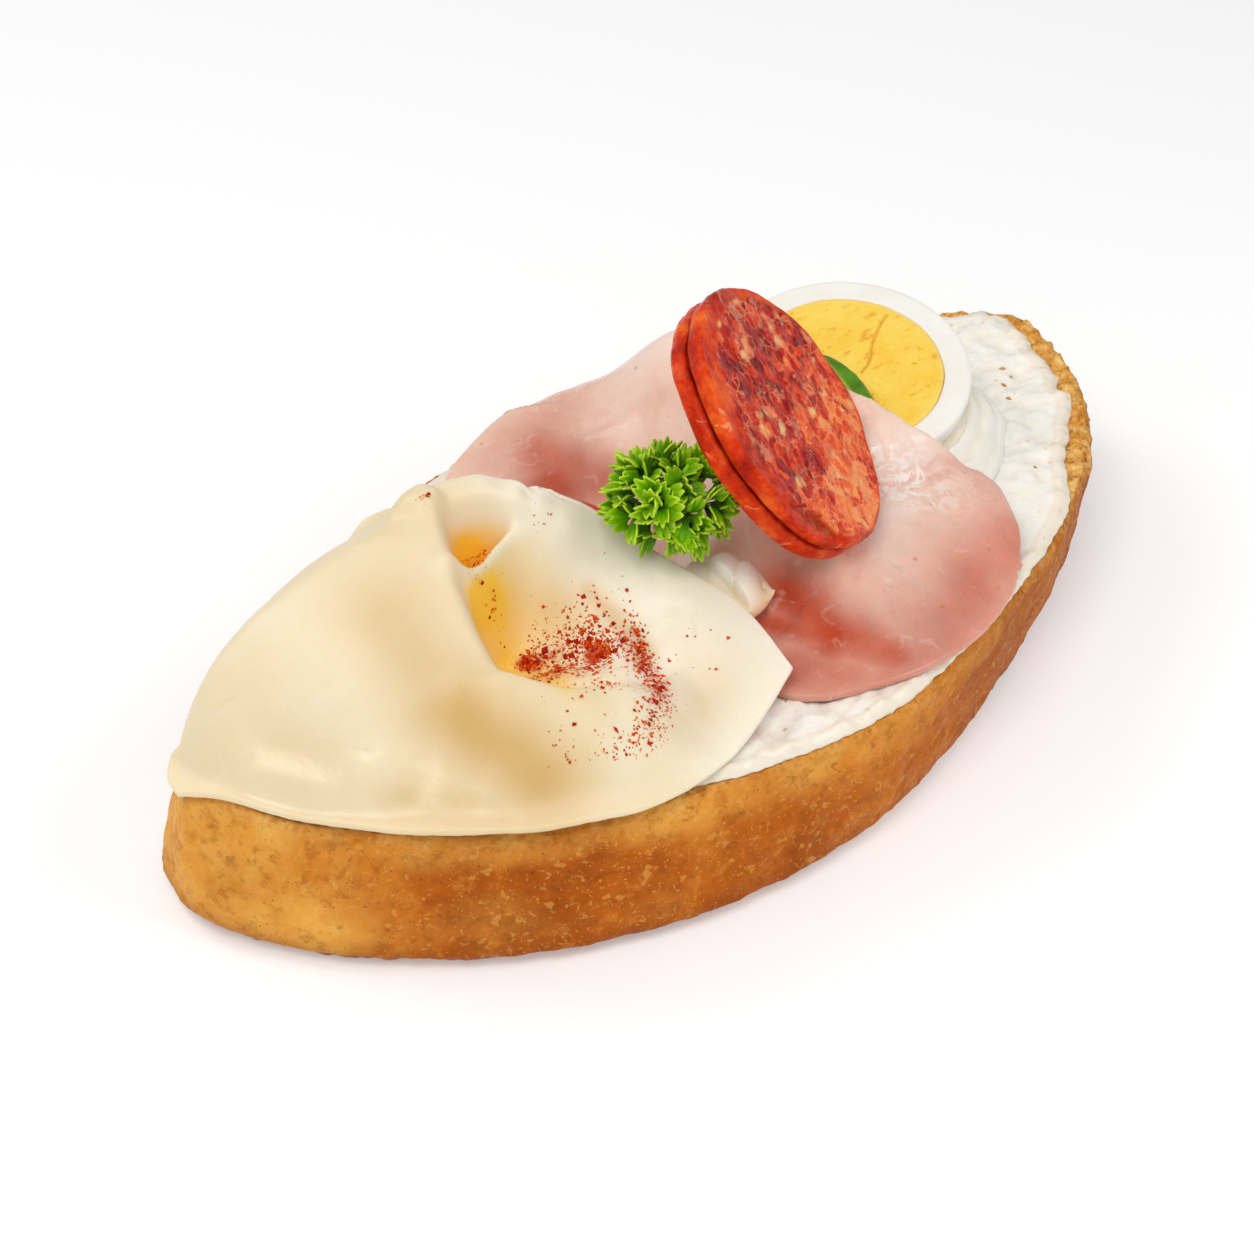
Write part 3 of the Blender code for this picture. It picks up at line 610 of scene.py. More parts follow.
# -------------------------------------------------------------- materials
def srgb(r, g, b):
    """Linear colour from 0-255 screen values."""
    out = []
    for v in (r, g, b):
        v = v / 255.0
        out.append(v / 12.92 if v <= 0.04045 else ((v + 0.055) / 1.055) ** 2.4)
    return (*out, 1.0)


class Look:
    """A Principled material and short ways to wire nodes into it."""

    def __init__(self, name, roughness=0.5, subsurface=0.0, radius=(1.0, 0.5, 0.25), scale=0.002, coat=0.0,
                 coat_roughness=0.1, specular=0.5, ior=1.45):
        self.mat = bpy.data.materials.new(name)
        self.mat.use_nodes = True
        self.tree = self.mat.node_tree
        self.shader = self.tree.nodes["Principled BSDF"]
        s = self.shader.inputs
        s["Roughness"].default_value = roughness
        s["Subsurface Weight"].default_value = subsurface
        s["Subsurface Radius"].default_value = radius
        s["Subsurface Scale"].default_value = scale
        s["Coat Weight"].default_value = coat
        s["Coat Roughness"].default_value = coat_roughness
        s["Specular IOR Level"].default_value = specular
        s["IOR"].default_value = ior
        self.coords = self.tree.nodes.new("ShaderNodeTexCoord").outputs["Object"]

    def put(self, socket, value):
        if isinstance(value, bpy.types.NodeSocket):
            self.tree.links.new(value, socket)
        else:
            socket.default_value = value

    def set(self, name, value):
        self.put(self.shader.inputs[name], value)

    def noise(self, scale, detail=4.0, rough=0.55, distortion=0.0, vector=None):
        n = self.tree.nodes.new("ShaderNodeTexNoise")
        self.put(n.inputs["Vector"], vector or self.coords)
        n.inputs["Scale"].default_value = scale
        n.inputs["Detail"].default_value = detail
        n.inputs["Roughness"].default_value = rough
        n.inputs["Distortion"].default_value = distortion
        return n.outputs["Fac"]

    def warped(self, scale, amount):
        """Object coordinates pushed about by noise."""
        n = self.tree.nodes.new("ShaderNodeTexNoise")
        self.put(n.inputs["Vector"], self.coords)
        n.inputs["Scale"].default_value = scale
        n.inputs["Detail"].default_value = 3.0
        sub = self.tree.nodes.new("ShaderNodeVectorMath")
        sub.operation = "SUBTRACT"
        self.put(sub.inputs[0], n.outputs["Color"])
        sub.inputs[1].default_value = (0.5, 0.5, 0.5)
        mul = self.tree.nodes.new("ShaderNodeVectorMath")
        mul.operation = "SCALE"
        self.put(mul.inputs[0], sub.outputs[0])
        mul.inputs["Scale"].default_value = amount
        add = self.tree.nodes.new("ShaderNodeVectorMath")
        add.operation = "ADD"
        self.put(add.inputs[0], self.coords)
        self.put(add.inputs[1], mul.outputs[0])
        return add.outputs[0]

    def stretched(self, scale):
        n = self.tree.nodes.new("ShaderNodeMapping")
        self.put(n.inputs["Vector"], self.coords)
        n.inputs["Scale"].default_value = scale
        return n.outputs[0]

    def cell(self, scale, feature="F1", randomness=1.0, vector=None, output="Distance"):
        n = self.tree.nodes.new("ShaderNodeTexVoronoi")
        n.feature = feature
        self.put(n.inputs["Vector"], vector or self.coords)
        n.inputs["Scale"].default_value = scale
        n.inputs["Randomness"].default_value = randomness
        return n.outputs[output]

    def attr(self, name):
        n = self.tree.nodes.new("ShaderNodeAttribute")
        n.attribute_name = name
        return n.outputs["Fac"]

    def ramp(self, fac, *stops, smoothly=False):
        n = self.tree.nodes.new("ShaderNodeValToRGB")
        if smoothly:
            n.color_ramp.interpolation = "EASE"
        while len(n.color_ramp.elements) < len(stops):
            n.color_ramp.elements.new(0.5)
        for e, (at, colour) in zip(n.color_ramp.elements, stops):
            e.position = at
            e.color = colour if len(colour) == 4 else (*colour, 1.0)
        self.put(n.inputs[0], fac)
        return n.outputs[0]

    def mask(self, fac, low, high):
        """0 below low and 1 above high."""
        n = self.tree.nodes.new("ShaderNodeMapRange")
        n.interpolation_type = "SMOOTHSTEP"
        self.put(n.inputs["Value"], fac)
        n.inputs["From Min"].default_value = low
        n.inputs["From Max"].default_value = high
        return n.outputs["Result"]

    def math(self, operation, a, b=0.0):
        n = self.tree.nodes.new("ShaderNodeMath")
        n.operation = operation
        self.put(n.inputs[0], a)
        self.put(n.inputs[1], b)
        return n.outputs[0]

    def mix(self, fac, a, b, mode="MIX"):
        n = self.tree.nodes.new("ShaderNodeMix")
        n.data_type = "RGBA"
        n.blend_type = mode
        self.put(n.inputs[0], fac)
        self.put(n.inputs[6], a)
        self.put(n.inputs[7], b)
        return n.outputs[2]

    def bump(self, height, strength, distance, normal=None):
        n = self.tree.nodes.new("ShaderNodeBump")
        n.inputs["Strength"].default_value = strength
        n.inputs["Distance"].default_value = distance
        self.put(n.inputs["Height"], height)
        if normal is not None:
            self.put(n.inputs["Normal"], normal)
        return n.outputs[0]


def crust_look():
    k = Look("crust", roughness=0.55, specular=0.10)
    base = k.ramp(
        k.noise(60, 5, 0.6),
        (0.30, srgb(164, 78, 10)), (0.50, srgb(190, 99, 19)), (0.70, srgb(208, 120, 30)),
    )
    # painted light: the crust is lighter at the cheese end and towards the rim
    light = k.ramp(k.noise(130, 4, 0.6), (0.35, srgb(234, 152, 50)), (0.65, srgb(255, 194, 90)))
    colour = k.mix(k.attr("painted_light"), base, light)
    # darker towards the base, and painted shade towards the right-hand end
    dark = k.ramp(k.noise(110, 4, 0.6), (0.3, srgb(118, 50, 6)), (0.7, srgb(162, 80, 16)))
    colour = k.mix(k.attr("dark_base_and_painted_shade"), colour, dark)
    # fine mottling, short pale flecks and dark creases across the crust
    mottle = k.noise(380, 5, 0.7)
    colour = k.mix(k.math("MULTIPLY", k.mask(mottle, 0.50, 0.34), 0.4), colour, srgb(140, 66, 10))
    colour = k.mix(k.math("MULTIPLY", k.mask(mottle, 0.52, 0.68), 0.35), colour, srgb(226, 150, 60))
    fleck = k.mask(k.noise(820, 2, 0.5, 0.8), 0.60, 0.68)
    colour = k.mix(k.math("MULTIPLY", fleck, 0.45), colour, srgb(230, 168, 80))
    tiny = k.mask(k.cell(1300), 0.17, 0.07)
    colour = k.mix(k.math("MULTIPLY", tiny, 0.55), colour, srgb(242, 196, 116))
    pit = k.mask(k.cell(700, vector=k.warped(300, 0.001)), 0.12, 0.05)
    colour = k.mix(k.math("MULTIPLY", pit, 0.6), colour, srgb(86, 36, 6))
    crease = k.mask(k.noise(300, 5, 0.7, distortion=1.6), 0.40, 0.30)
    colour = k.mix(k.math("MULTIPLY", crease, 0.45), colour, srgb(112, 50, 8))
    # torn crumb round the cut edge
    crumb = k.ramp(
        k.noise(600, 5, 0.7),
        (0.25, srgb(160, 84, 18)), (0.45, srgb(216, 150, 62)), (0.7, srgb(248, 212, 136)),
    )
    # painted shade in the crumb's pores
    hole = k.mask(k.cell(850, vector=k.warped(400, 0.001)), 0.45, 0.15)
    crumb = k.mix(k.math("MULTIPLY", hole, 0.6), crumb, srgb(150, 80, 22))
    colour = k.mix(k.attr("crumb"), colour, crumb)
    k.set("Base Color", colour)
    k.set("Roughness", k.ramp(k.noise(300, 3), (0.3, (0.42, 0.42, 0.42)), (0.7, (0.62, 0.62, 0.62))))
    n = k.bump(mottle, 0.6, 0.0006)
    n = k.bump(k.noise(820, 2, 0.5, 0.8), 0.35, 0.0003, n)
    n = k.bump(k.noise(1700, 3, 0.6), 0.4, 0.0002, n)
    k.set("Normal", n)
    return k.mat


def spread_look():
    k = Look("cream_spread", roughness=0.26, subsurface=0.2, radius=(1.0, 0.75, 0.5), scale=0.0014, coat=0.15,
             coat_roughness=0.15, specular=0.4)
    base = k.ramp(k.noise(220, 4), (0.3, srgb(250, 243, 230)), (0.7, srgb(255, 252, 246)))
    # painted shade in the spread's hollows, and a fixed darker tint on its outer edge
    base = k.mix(k.math("MULTIPLY", k.attr("painted_shade"), 0.8), base, srgb(232, 206, 160))
    bits = k.mask(k.cell(330, randomness=1.0), 0.16, 0.06)
    base = k.mix(k.math("MULTIPLY", bits, 0.5), base, srgb(226, 186, 120))
    k.set("Base Color", base)
    k.set("Roughness", k.ramp(k.noise(160, 3), (0.35, (0.2, 0.2, 0.2)), (0.65, (0.42, 0.42, 0.42))))
    k.set("Normal", k.bump(k.noise(650, 4, 0.6), 0.35, 0.0004))
    return k.mat


def cheese_look():
    k = Look("cheese", roughness=0.34, subsurface=0.35, radius=(1.0, 0.62, 0.32), scale=0.003, specular=0.4)
    base = k.ramp(k.noise(60, 4), (0.3, srgb(240, 217, 178)), (0.7, srgb(246, 226, 194)))
    # painted light: the right-hand flap is lighter than the dome
    base = k.mix(k.attr("flap_painted_light"), base, srgb(253, 240, 220))
    # painted shade in the cheese's hollows and on its shaded slopes
    base = k.mix(k.attr("painted_shade"), base, srgb(213, 174, 104))
    # painted shade and bounced light: orange inside the openings, with paprika stain
    base = k.mix(k.attr("pocket"), base, srgb(255, 198, 60))
    base = k.mix(k.attr("mauve"), base, srgb(206, 152, 138))
    rust = k.math("ADD", k.attr("paprika"), k.math("MULTIPLY", k.noise(1100, 4, 0.75), 0.9))
    base = k.mix(k.math("MULTIPLY", k.mask(rust, 0.72, 1.15), 0.92), base, srgb(186, 50, 8))
    grain = k.mask(k.noise(1400, 2), 0.62, 0.72)
    base = k.mix(k.math("MULTIPLY", grain, 0.06), base, srgb(214, 180, 120))
    k.set("Base Color", base)
    dry = k.ramp(k.noise(150, 3), (0.35, (0.38, 0.38, 0.38)), (0.65, (0.50, 0.50, 0.50)))
    k.set("Roughness", k.mix(k.attr("wet"), dry, (0.27, 0.27, 0.27, 1.0)))
    n = k.bump(k.noise(260, 4, 0.5), 0.12, 0.0005)
    n = k.bump(k.noise(1300, 3, 0.6), 0.22, 0.00015, n)
    k.set("Normal", n)
    return k.mat


def ham_look():
    k = Look("ham", roughness=0.3, subsurface=0.3, radius=(1.0, 0.35, 0.2), scale=0.0022, coat=0.15,
             coat_roughness=0.12, specular=0.35)
    base = k.ramp(
        k.noise(80, 5, 0.6),
        (0.3, srgb(238, 190, 168)), (0.55, srgb(246, 208, 188)), (0.75, srgb(250, 222, 206)),
    )
    # painted light along the ham's crests, and a thin pale streak
    base = k.mix(k.attr("pale"), base, srgb(248, 228, 216))
    # darker red flesh colour, used as painted shade in the ham's valleys and shaded places
    flesh = k.ramp(k.noise(110, 5, 0.6), (0.3, srgb(176, 50, 20)), (0.7, srgb(208, 88, 50)))
    base = k.mix(k.attr("flesh"), base, flesh)
    pore = k.mask(k.cell(260, vector=k.warped(200, 0.002)), 0.11, 0.05)
    base = k.mix(k.math("MULTIPLY", pore, 0.5), base, srgb(196, 100, 78))
    fat = k.mask(k.noise(330, 3, 0.6, 0.8), 0.60, 0.70)
    base = k.mix(k.math("MULTIPLY", fat, 0.2), base, srgb(250, 232, 220))
    shine = k.mask(k.noise(360, 5, 0.7, 1.6), 0.42, 0.56)
    shine = k.math("MULTIPLY", shine, k.attr("sheen"))
    base = k.mix(k.math("MULTIPLY", shine, 0.85), base, srgb(254, 244, 238))
    k.set("Base Color", base)
    k.set("Roughness", k.ramp(k.noise(220, 3), (0.35, (0.18, 0.18, 0.18)), (0.65, (0.38, 0.38, 0.38))))
    n = k.bump(k.noise(240, 4, 0.6, 0.6), 0.22, 0.0006)
    n = k.bump(k.noise(900, 3, 0.6), 0.2, 0.0002, n)
    k.set("Normal", n)
    return k.mat


def salami_look():
    k = Look("salami", roughness=0.32, subsurface=0.08, radius=(1.0, 0.25, 0.1), scale=0.001, coat=0.05,
             coat_roughness=0.1, specular=0.10)
    at = k.warped(300, 0.0034)
    grain = k.cell(560, vector=at, output="Color")
    split = k.tree.nodes.new("ShaderNodeSeparateColor")
    k.put(split.inputs[0], grain)
    tone = k.math("ADD", k.math("MULTIPLY", split.outputs[0], 0.24), k.math("MULTIPLY", k.noise(170, 5, 0.7, 0.8), 0.95))
    tone = k.math("ADD", tone, k.math("MULTIPLY", k.attr("glow"), 0.22))
    meat = k.ramp(
        tone,
        (0.42, srgb(126, 6, 2)), (0.60, srgb(190, 26, 8)), (0.76, srgb(238, 82, 28)), (0.94, srgb(255, 160, 92)),
    )
    seam = k.mask(k.cell(560, "DISTANCE_TO_EDGE", vector=at), 0.09, 0.01)
    seam = k.math("MULTIPLY", seam, k.mask(k.math("ADD", k.noise(220, 3, 0.6), k.math("MULTIPLY", k.attr("glow"), 0.10)), 0.46, 0.62))
    colour = k.mix(k.math("MULTIPLY", seam, 0.42), meat, srgb(255, 176, 120))
    fat = k.mask(k.cell(210, vector=k.warped(330, 0.0036)), 0.36, 0.20)
    fat = k.math("MULTIPLY", fat, k.mask(k.noise(170, 2, 0.6), 0.43, 0.52))
    colour = k.mix(k.math("MULTIPLY", fat, 0.9), colour, k.ramp(k.noise(240, 2), (0.4, srgb(240, 136, 96)), (0.6, srgb(250, 204, 130))))
    patch = k.mask(k.noise(250, 3, 0.6), 0.60, 0.65)
    colour = k.mix(k.math("MULTIPLY", patch, 0.5), colour, srgb(240, 158, 122))
    glint = k.mask(k.noise(1500, 3, 0.6, 0.6), 0.66, 0.72)
    glint = k.math("MULTIPLY", glint, k.mask(k.math("ADD", k.noise(180, 2), k.math("MULTIPLY", k.attr("glow"), 0.18)), 0.50, 0.66))
    colour = k.mix(k.math("MULTIPLY", glint, 0.8), colour, srgb(255, 228, 206))
    deep = k.mask(k.noise(330, 4, 0.6, 1.0), 0.42, 0.32)
    colour = k.mix(k.math("MULTIPLY", deep, 0.5), colour, srgb(96, 4, 2))
    colour = k.mix(k.attr("shade"), colour, srgb(130, 8, 2))
    skin = k.ramp(
        k.noise(150, 5, 0.65), (0.32, srgb(150, 16, 2)), (0.5, srgb(212, 52, 10)), (0.68, srgb(246, 112, 34))
    )
    streak = k.mask(k.noise(700, 3, 0.6, 0.8, vector=k.stretched((0.4, 0.4, 1.0))), 0.62, 0.72)
    skin = k.mix(k.math("MULTIPLY", streak, 0.5), skin, srgb(255, 190, 130))
    colour = k.mix(k.attr("skin"), colour, skin)
    k.set("Base Color", colour)
    k.set("Roughness", k.ramp(k.noise(500, 3), (0.35, (0.18, 0.18, 0.18)), (0.65, (0.42, 0.42, 0.42))))
    n = k.bump(k.noise(420, 5, 0.6, 0.5), 0.5, 0.0006)
    n = k.bump(k.noise(1500, 3, 0.6), 0.4, 0.0002, n)
    k.set("Normal", n)
    return k.mat


def white_look():
    k = Look("egg_white", roughness=0.3, subsurface=0.3, radius=(1.0, 0.85, 0.7), scale=0.002, coat=0.15,
             coat_roughness=0.15)
    k.set("Base Color", k.ramp(k.noise(130, 4), (0.3, srgb(246, 242, 232)), (0.7, srgb(252, 250, 244))))
    k.set("Normal", k.bump(k.noise(600, 3), 0.10, 0.0003))
    return k.mat


def yolk_look():
    k = Look("egg_yolk", roughness=0.6, subsurface=0.2, radius=(1.0, 0.6, 0.2), scale=0.001, specular=0.3)
    base = k.ramp(k.noise(170, 4, 0.6), (0.3, srgb(252, 202, 64)), (0.7, srgb(255, 220, 100)))
    line = k.noise(760, 4, 0.65, vector=k.stretched((0.45, 0.9, 1.4)))
    base = k.mix(k.math("MULTIPLY", k.mask(line, 0.45, 0.32), 0.75), base, srgb(232, 158, 30))
    base = k.mix(k.math("MULTIPLY", k.mask(line, 0.60, 0.72), 0.5), base, srgb(255, 232, 140))
    base = k.mix(k.attr("crack"), base, srgb(222, 150, 40))
    base = k.mix(k.attr("rim"), base, srgb(255, 222, 120))
    k.set("Base Color", base)
    n = k.bump(line, 0.5, 0.0004)
    n = k.bump(k.noise(1600, 3, 0.7), 0.4, 0.0002, n)
    k.set("Normal", n)
    return k.mat


def mayo_look():
    k = Look("mayonnaise", roughness=0.26, subsurface=0.3, radius=(1.0, 0.8, 0.5), scale=0.002, coat=0.12,
             coat_roughness=0.1, specular=0.35)
    base = k.ramp(k.noise(150, 4), (0.3, srgb(253, 244, 228)), (0.7, srgb(255, 250, 241)))
    # painted shade in the mayonnaise's grooves and low places
    base = k.mix(k.attr("painted_shade"), base, srgb(250, 214, 158))
    k.set("Base Color", base)
    k.set("Normal", k.bump(k.noise(400, 3), 0.12, 0.0004))
    return k.mat


def tomato_look():
    k = Look("tomato", roughness=0.18, subsurface=0.2, radius=(1.0, 0.2, 0.1), scale=0.002, coat=0.5,
             coat_roughness=0.08)
    flesh = k.ramp(k.noise(180, 4), (0.3, srgb(206, 40, 24)), (0.7, srgb(232, 74, 44)))
    skin = k.ramp(k.noise(90, 3), (0.3, srgb(188, 14, 10)), (0.7, srgb(226, 34, 20)))
    k.set("Base Color", k.mix(k.attr("skin"), flesh, skin))
    k.set("Normal", k.bump(k.noise(700, 3), 0.15, 0.0003))
    return k.mat


def gherkin_look():
    k = Look("gherkin", roughness=0.26, subsurface=0.2, radius=(0.6, 1.0, 0.2), scale=0.0015, coat=0.12,
             coat_roughness=0.1, specular=0.3)
    skin = k.ramp(k.noise(260, 4, 0.6), (0.3, srgb(40, 92, 6)), (0.7, srgb(96, 152, 22)))
    inside = k.ramp(k.noise(300, 3), (0.3, srgb(150, 178, 40)), (0.7, srgb(206, 214, 84)))
    k.set("Base Color", k.mix(k.attr("inside"), skin, inside))
    k.set("Normal", k.bump(k.noise(600, 3), 0.25, 0.0003))
    return k.mat


def parsley_look():
    k = Look("parsley_leaf", roughness=0.36, subsurface=0.10, radius=(0.5, 1.0, 0.2), scale=0.0006, specular=0.22)
    # painted light and shade: dark at a leaflet's base deep in the sprig, light at its tip and rim
    leaf = k.ramp(
        k.attr("tip"),
        (0.0, srgb(36, 84, 0)), (0.32, srgb(92, 160, 0)), (0.66, srgb(156, 208, 8)), (1.0, srgb(214, 238, 82)),
    )
    leaf = k.mix(k.math("MULTIPLY", k.mask(k.noise(500, 3), 0.45, 0.62), 0.25), leaf, srgb(44, 92, 6))
    leaf = k.mix(k.math("MULTIPLY", k.attr("stem"), 0.8), leaf, srgb(150, 180, 84))
    k.set("Base Color", leaf)
    k.set("Normal", k.bump(k.noise(900, 3, 0.6), 0.4, 0.0003))
    return k.mat


def paprika_look():
    k = Look("paprika", roughness=0.6, subsurface=0.25, radius=(1.0, 0.3, 0.1), scale=0.0006, specular=0.1)
    k.set("Base Color", k.ramp(
        k.attr("tone"),
        (0.0, srgb(176, 24, 4)), (0.35, srgb(216, 56, 6)), (0.7, srgb(238, 98, 16)), (1.0, srgb(250, 150, 50)),
    ))
    k.set("Normal", k.bump(k.noise(3000, 2), 0.3, 0.0001))
    return k.mat


def crumb_look():
    k = Look("crumb", roughness=0.65, subsurface=0.1, scale=0.0006)
    k.set("Base Color", k.ramp(
        k.attr("tone"),
        (0.0, srgb(150, 78, 24)), (0.5, srgb(214, 142, 60)), (1.0, srgb(244, 212, 150)),
    ))
    k.set("Normal", k.bump(k.noise(1500, 3), 0.5, 0.0002))
    return k.mat


# ------------------------------------------------------------------ bread
def torn(angle, x, y):
    """How much of the cut edge shows torn crumb: most at the egg end."""
    right = smooth((x - 47) / 14) * smooth((y + 22) / 12)
    back = smooth((y - 30) / 6) * 0.7
    rest = 0.22 + 0.2 * perlin(x / 11, y / 11, 0, 12)
    return np.clip(np.maximum(np.maximum(right, back), rest), 0, 1)


def build_bread(mat):
    around = 940
    angle = np.linspace(-math.pi, math.pi, around, endpoint=False)
    levels = 0.5 - 0.5 * np.cos(math.pi * np.linspace(0, 1, 50))
    levels = 0.35 * levels + 0.65 * np.linspace(0, 1, 50)
    insets = np.concatenate([np.linspace(0.35, 7.0, 18), [12.0]])
    rows, crumb, dark_base_and_painted_shade, painted_light = [], [], [], []

    rx0, ry0 = outline(RIM, angle, 0.0)
    tear = torn(angle, rx0, ry0)
    tangent = np.stack([np.roll(rx0, -1) - np.roll(rx0, 1), np.roll(ry0, -1) - np.roll(ry0, 1)], -1)
    tangent /= np.linalg.norm(tangent, axis=1)[:, None]
    out = np.stack([tangent[:, 1], -tangent[:, 0]], -1)
    step = np.hypot(np.roll(rx0, -1) - rx0, np.roll(ry0, -1) - ry0)
    arc = np.concatenate([[0], np.cumsum(step)[:-1]])

    def bottom(inset):
        bx, by = outline(BASE, angle, BASE_TUCK + inset)
        return np.stack([bx, by, np.zeros(around)], -1)

    for inset in (30.0, 12.0, 3.0, 0.8):
        rows.append(bottom(inset))
        crumb.append(np.zeros(around))
        dark_base_and_painted_shade.append(np.full(around, 0.6))
        painted_light.append(np.zeros(around))

    for level in levels:
        belly = CRUST_BELLY * math.sin(math.pi * level**0.7)
        tuck = BASE_TUCK * (1.0 - float(smooth(level / 0.16))) ** 1.5
        round_over = RIM_ROUND * float(smooth((level - 0.95) / 0.05))
        inset = -belly + tuck + round_over
        rx, ry = outline(RIM, angle, inset)
        bx, by = outline(BASE, angle, inset)
        t = float(smooth(level * 0.5 + 0.25)) * 1.6 - 0.3
        t = max(0.0, min(1.0, (level - 0.05) / 0.9)) * 0.5 + max(0.0, min(1.0, t)) * 0.5
        x, y = mix(bx, rx, t), mix(by, ry, t)
        z = np.full(around, level * BREAD_HEIGHT)
        z = z + rim_lift(x, y) * smooth((level - 0.45) / 0.5)
        fade = float(smooth(level / 0.12))
        d = 0.30 * perlin(x / 9, y / 9, z / 9, 2)
        d = d + 0.26 * perlin(x / 3.2, y / 3.2, z / 2.4, 4)
        d = d - 0.20 * np.abs(perlin(x / 1.9, y / 1.9, z / 1.3, 6)) ** 0.8
        d = d + 0.07 * perlin(x / 0.9, y / 0.9, z / 0.9, 8)
        d = d * (0.35 + 0.65 * fade) + (1.0 - fade) * (0.5 * perlin(arc / 4.2, 0, 0, 16) + 0.35 * perlin(arc / 1.7, 0, 0, 17))
        # a ragged lip where the crust is cut
        lip = smooth((level - 0.80) / 0.2)
        first, second = cells(x / 2.0, y / 2.0, z / 2.0, 3)
        d = d + lip * tear * (0.55 * perlin(arc / 2.3, z / 2.0, 0, 9) - 1.0 * smooth((0.42 - first) / 0.3))
        # short cracks in the crust
        for cx, cy, cz, length in ((14.0, -34.5, 9.5, 5.0), (-40.0, -29.0, 13.0, 3.0), (44.0, -25.0, 12.0, 3.5)):
            along_rim = (x - cx) * 0.95 + (y - cy) * 0.3
            shape = np.exp(-((along_rim / length) ** 4)) * np.exp(-(((z - cz - 0.8 * perlin(arc / 2.5, 0, 0, 7)) / 0.35) ** 2))
            d = d - 0.55 * shape * np.exp(-(((y - cy) / 9.0) ** 2))
        p = np.stack([x + out[:, 0] * d, y + out[:, 1] * d, z], -1)
        rows.append(p)
        edge = smooth((level - 0.90 + 0.05 * perlin(arc / 3.0, 0, 0, 10)) / 0.08)
        crumb.append(edge * np.clip(tear * 1.4, 0, 1))
        # darker towards the base of the crust, and painted shade towards its right-hand end
        dark_base_and_painted_shade.append(np.clip((1.0 - float(smooth(level / 0.30))) * 0.75 + 0.34 * smooth((x - 8) / 30), 0, 1))
        # painted light: lighter at the cheese end and towards the rim, with random variation
        end = smooth((-x - 58) / 16)
        rim_glow = 0.50 * smooth((level - 0.66) / 0.25) * (1 - smooth((x - 8) / 30))
        glow = np.clip(np.maximum(0.80 * end, rim_glow) + 0.25 * perlin(x / 13, y / 13, z / 9, 15), 0, 1)
        painted_light.append(glow)

    for inset in insets:
        x, y = outline(RIM, angle, inset + RIM_ROUND)
        z = np.full(around, BREAD_HEIGHT) + rim_lift(x, y)
        first, second = cells(x / 1.9, y / 1.9, 0.0, 5)
        near = np.exp(-inset / 3.0)
        ridge = smooth((x - 50) / 14) * math.exp(-((inset - 1.6) / 1.8) ** 2)
        z = z + ridge * (0.8 + 0.9 * perlin(arc / 2.6, 0, 0, 18))
        z = z + tear * near * (0.55 * perlin(x / 2.2, y / 2.2, 0, 11) - 0.9 * smooth((0.45 - first) / 0.3))
        z = z + 0.12 * perlin(x / 1.2, y / 1.2, 0, 13)
        wobble = tear * near * 0.6 * perlin(arc / 2.1, inset / 2.0, 0, 14)
        rows.append(np.stack([x + out[:, 0] * wobble, y + out[:, 1] * wobble, z], -1))
        crumb.append(np.ones(around))
        dark_base_and_painted_shade.append(np.zeros(around))
        painted_light.append(np.zeros(around))

    obj = ringed(
        "bread_loaf_slice", np.array(rows), [mat],
        {"crumb": np.array(crumb), "dark_base_and_painted_shade": np.array(dark_base_and_painted_shade), "painted_light": np.array(painted_light)},
    )
    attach(obj, "root")
    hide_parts("bread")
    return obj


# ----------------------------------------------------------------- spread
def spread_surface(x, y):
    z = SPREAD_TOP + 0.12 * perlin(x / 7, y / 7, 0, 21) + rim_lift(x, y)
    open_part = np.maximum(smooth((x - 42) / 10), smooth((-y - 22) / 5) * smooth((x + 25) / 8))
    open_part = np.maximum(open_part, smooth((y - 32) / 4))
    warp_x, warp_y = 2.0 * perlin(x / 9, y / 9, 0, 24), 2.0 * perlin(x / 9, y / 9, 3.0, 25)
    swirl = perlin((x + warp_x) / 3.6, (y + warp_y) / 6.0, 0, 22)
    lumps = 0.62 * fbm((x + warp_x) / 5.0, (y + warp_y) / 3.6, 0, 3, 23) + 0.30 * (1 - np.abs(swirl)) ** 2
    return z + open_part * (0.25 + lumps + 0.16 * perlin(x / 1.5, y / 1.9, 0, 30)) + 0.05 * perlin(x / 0.8, y / 0.8, 0, 26)


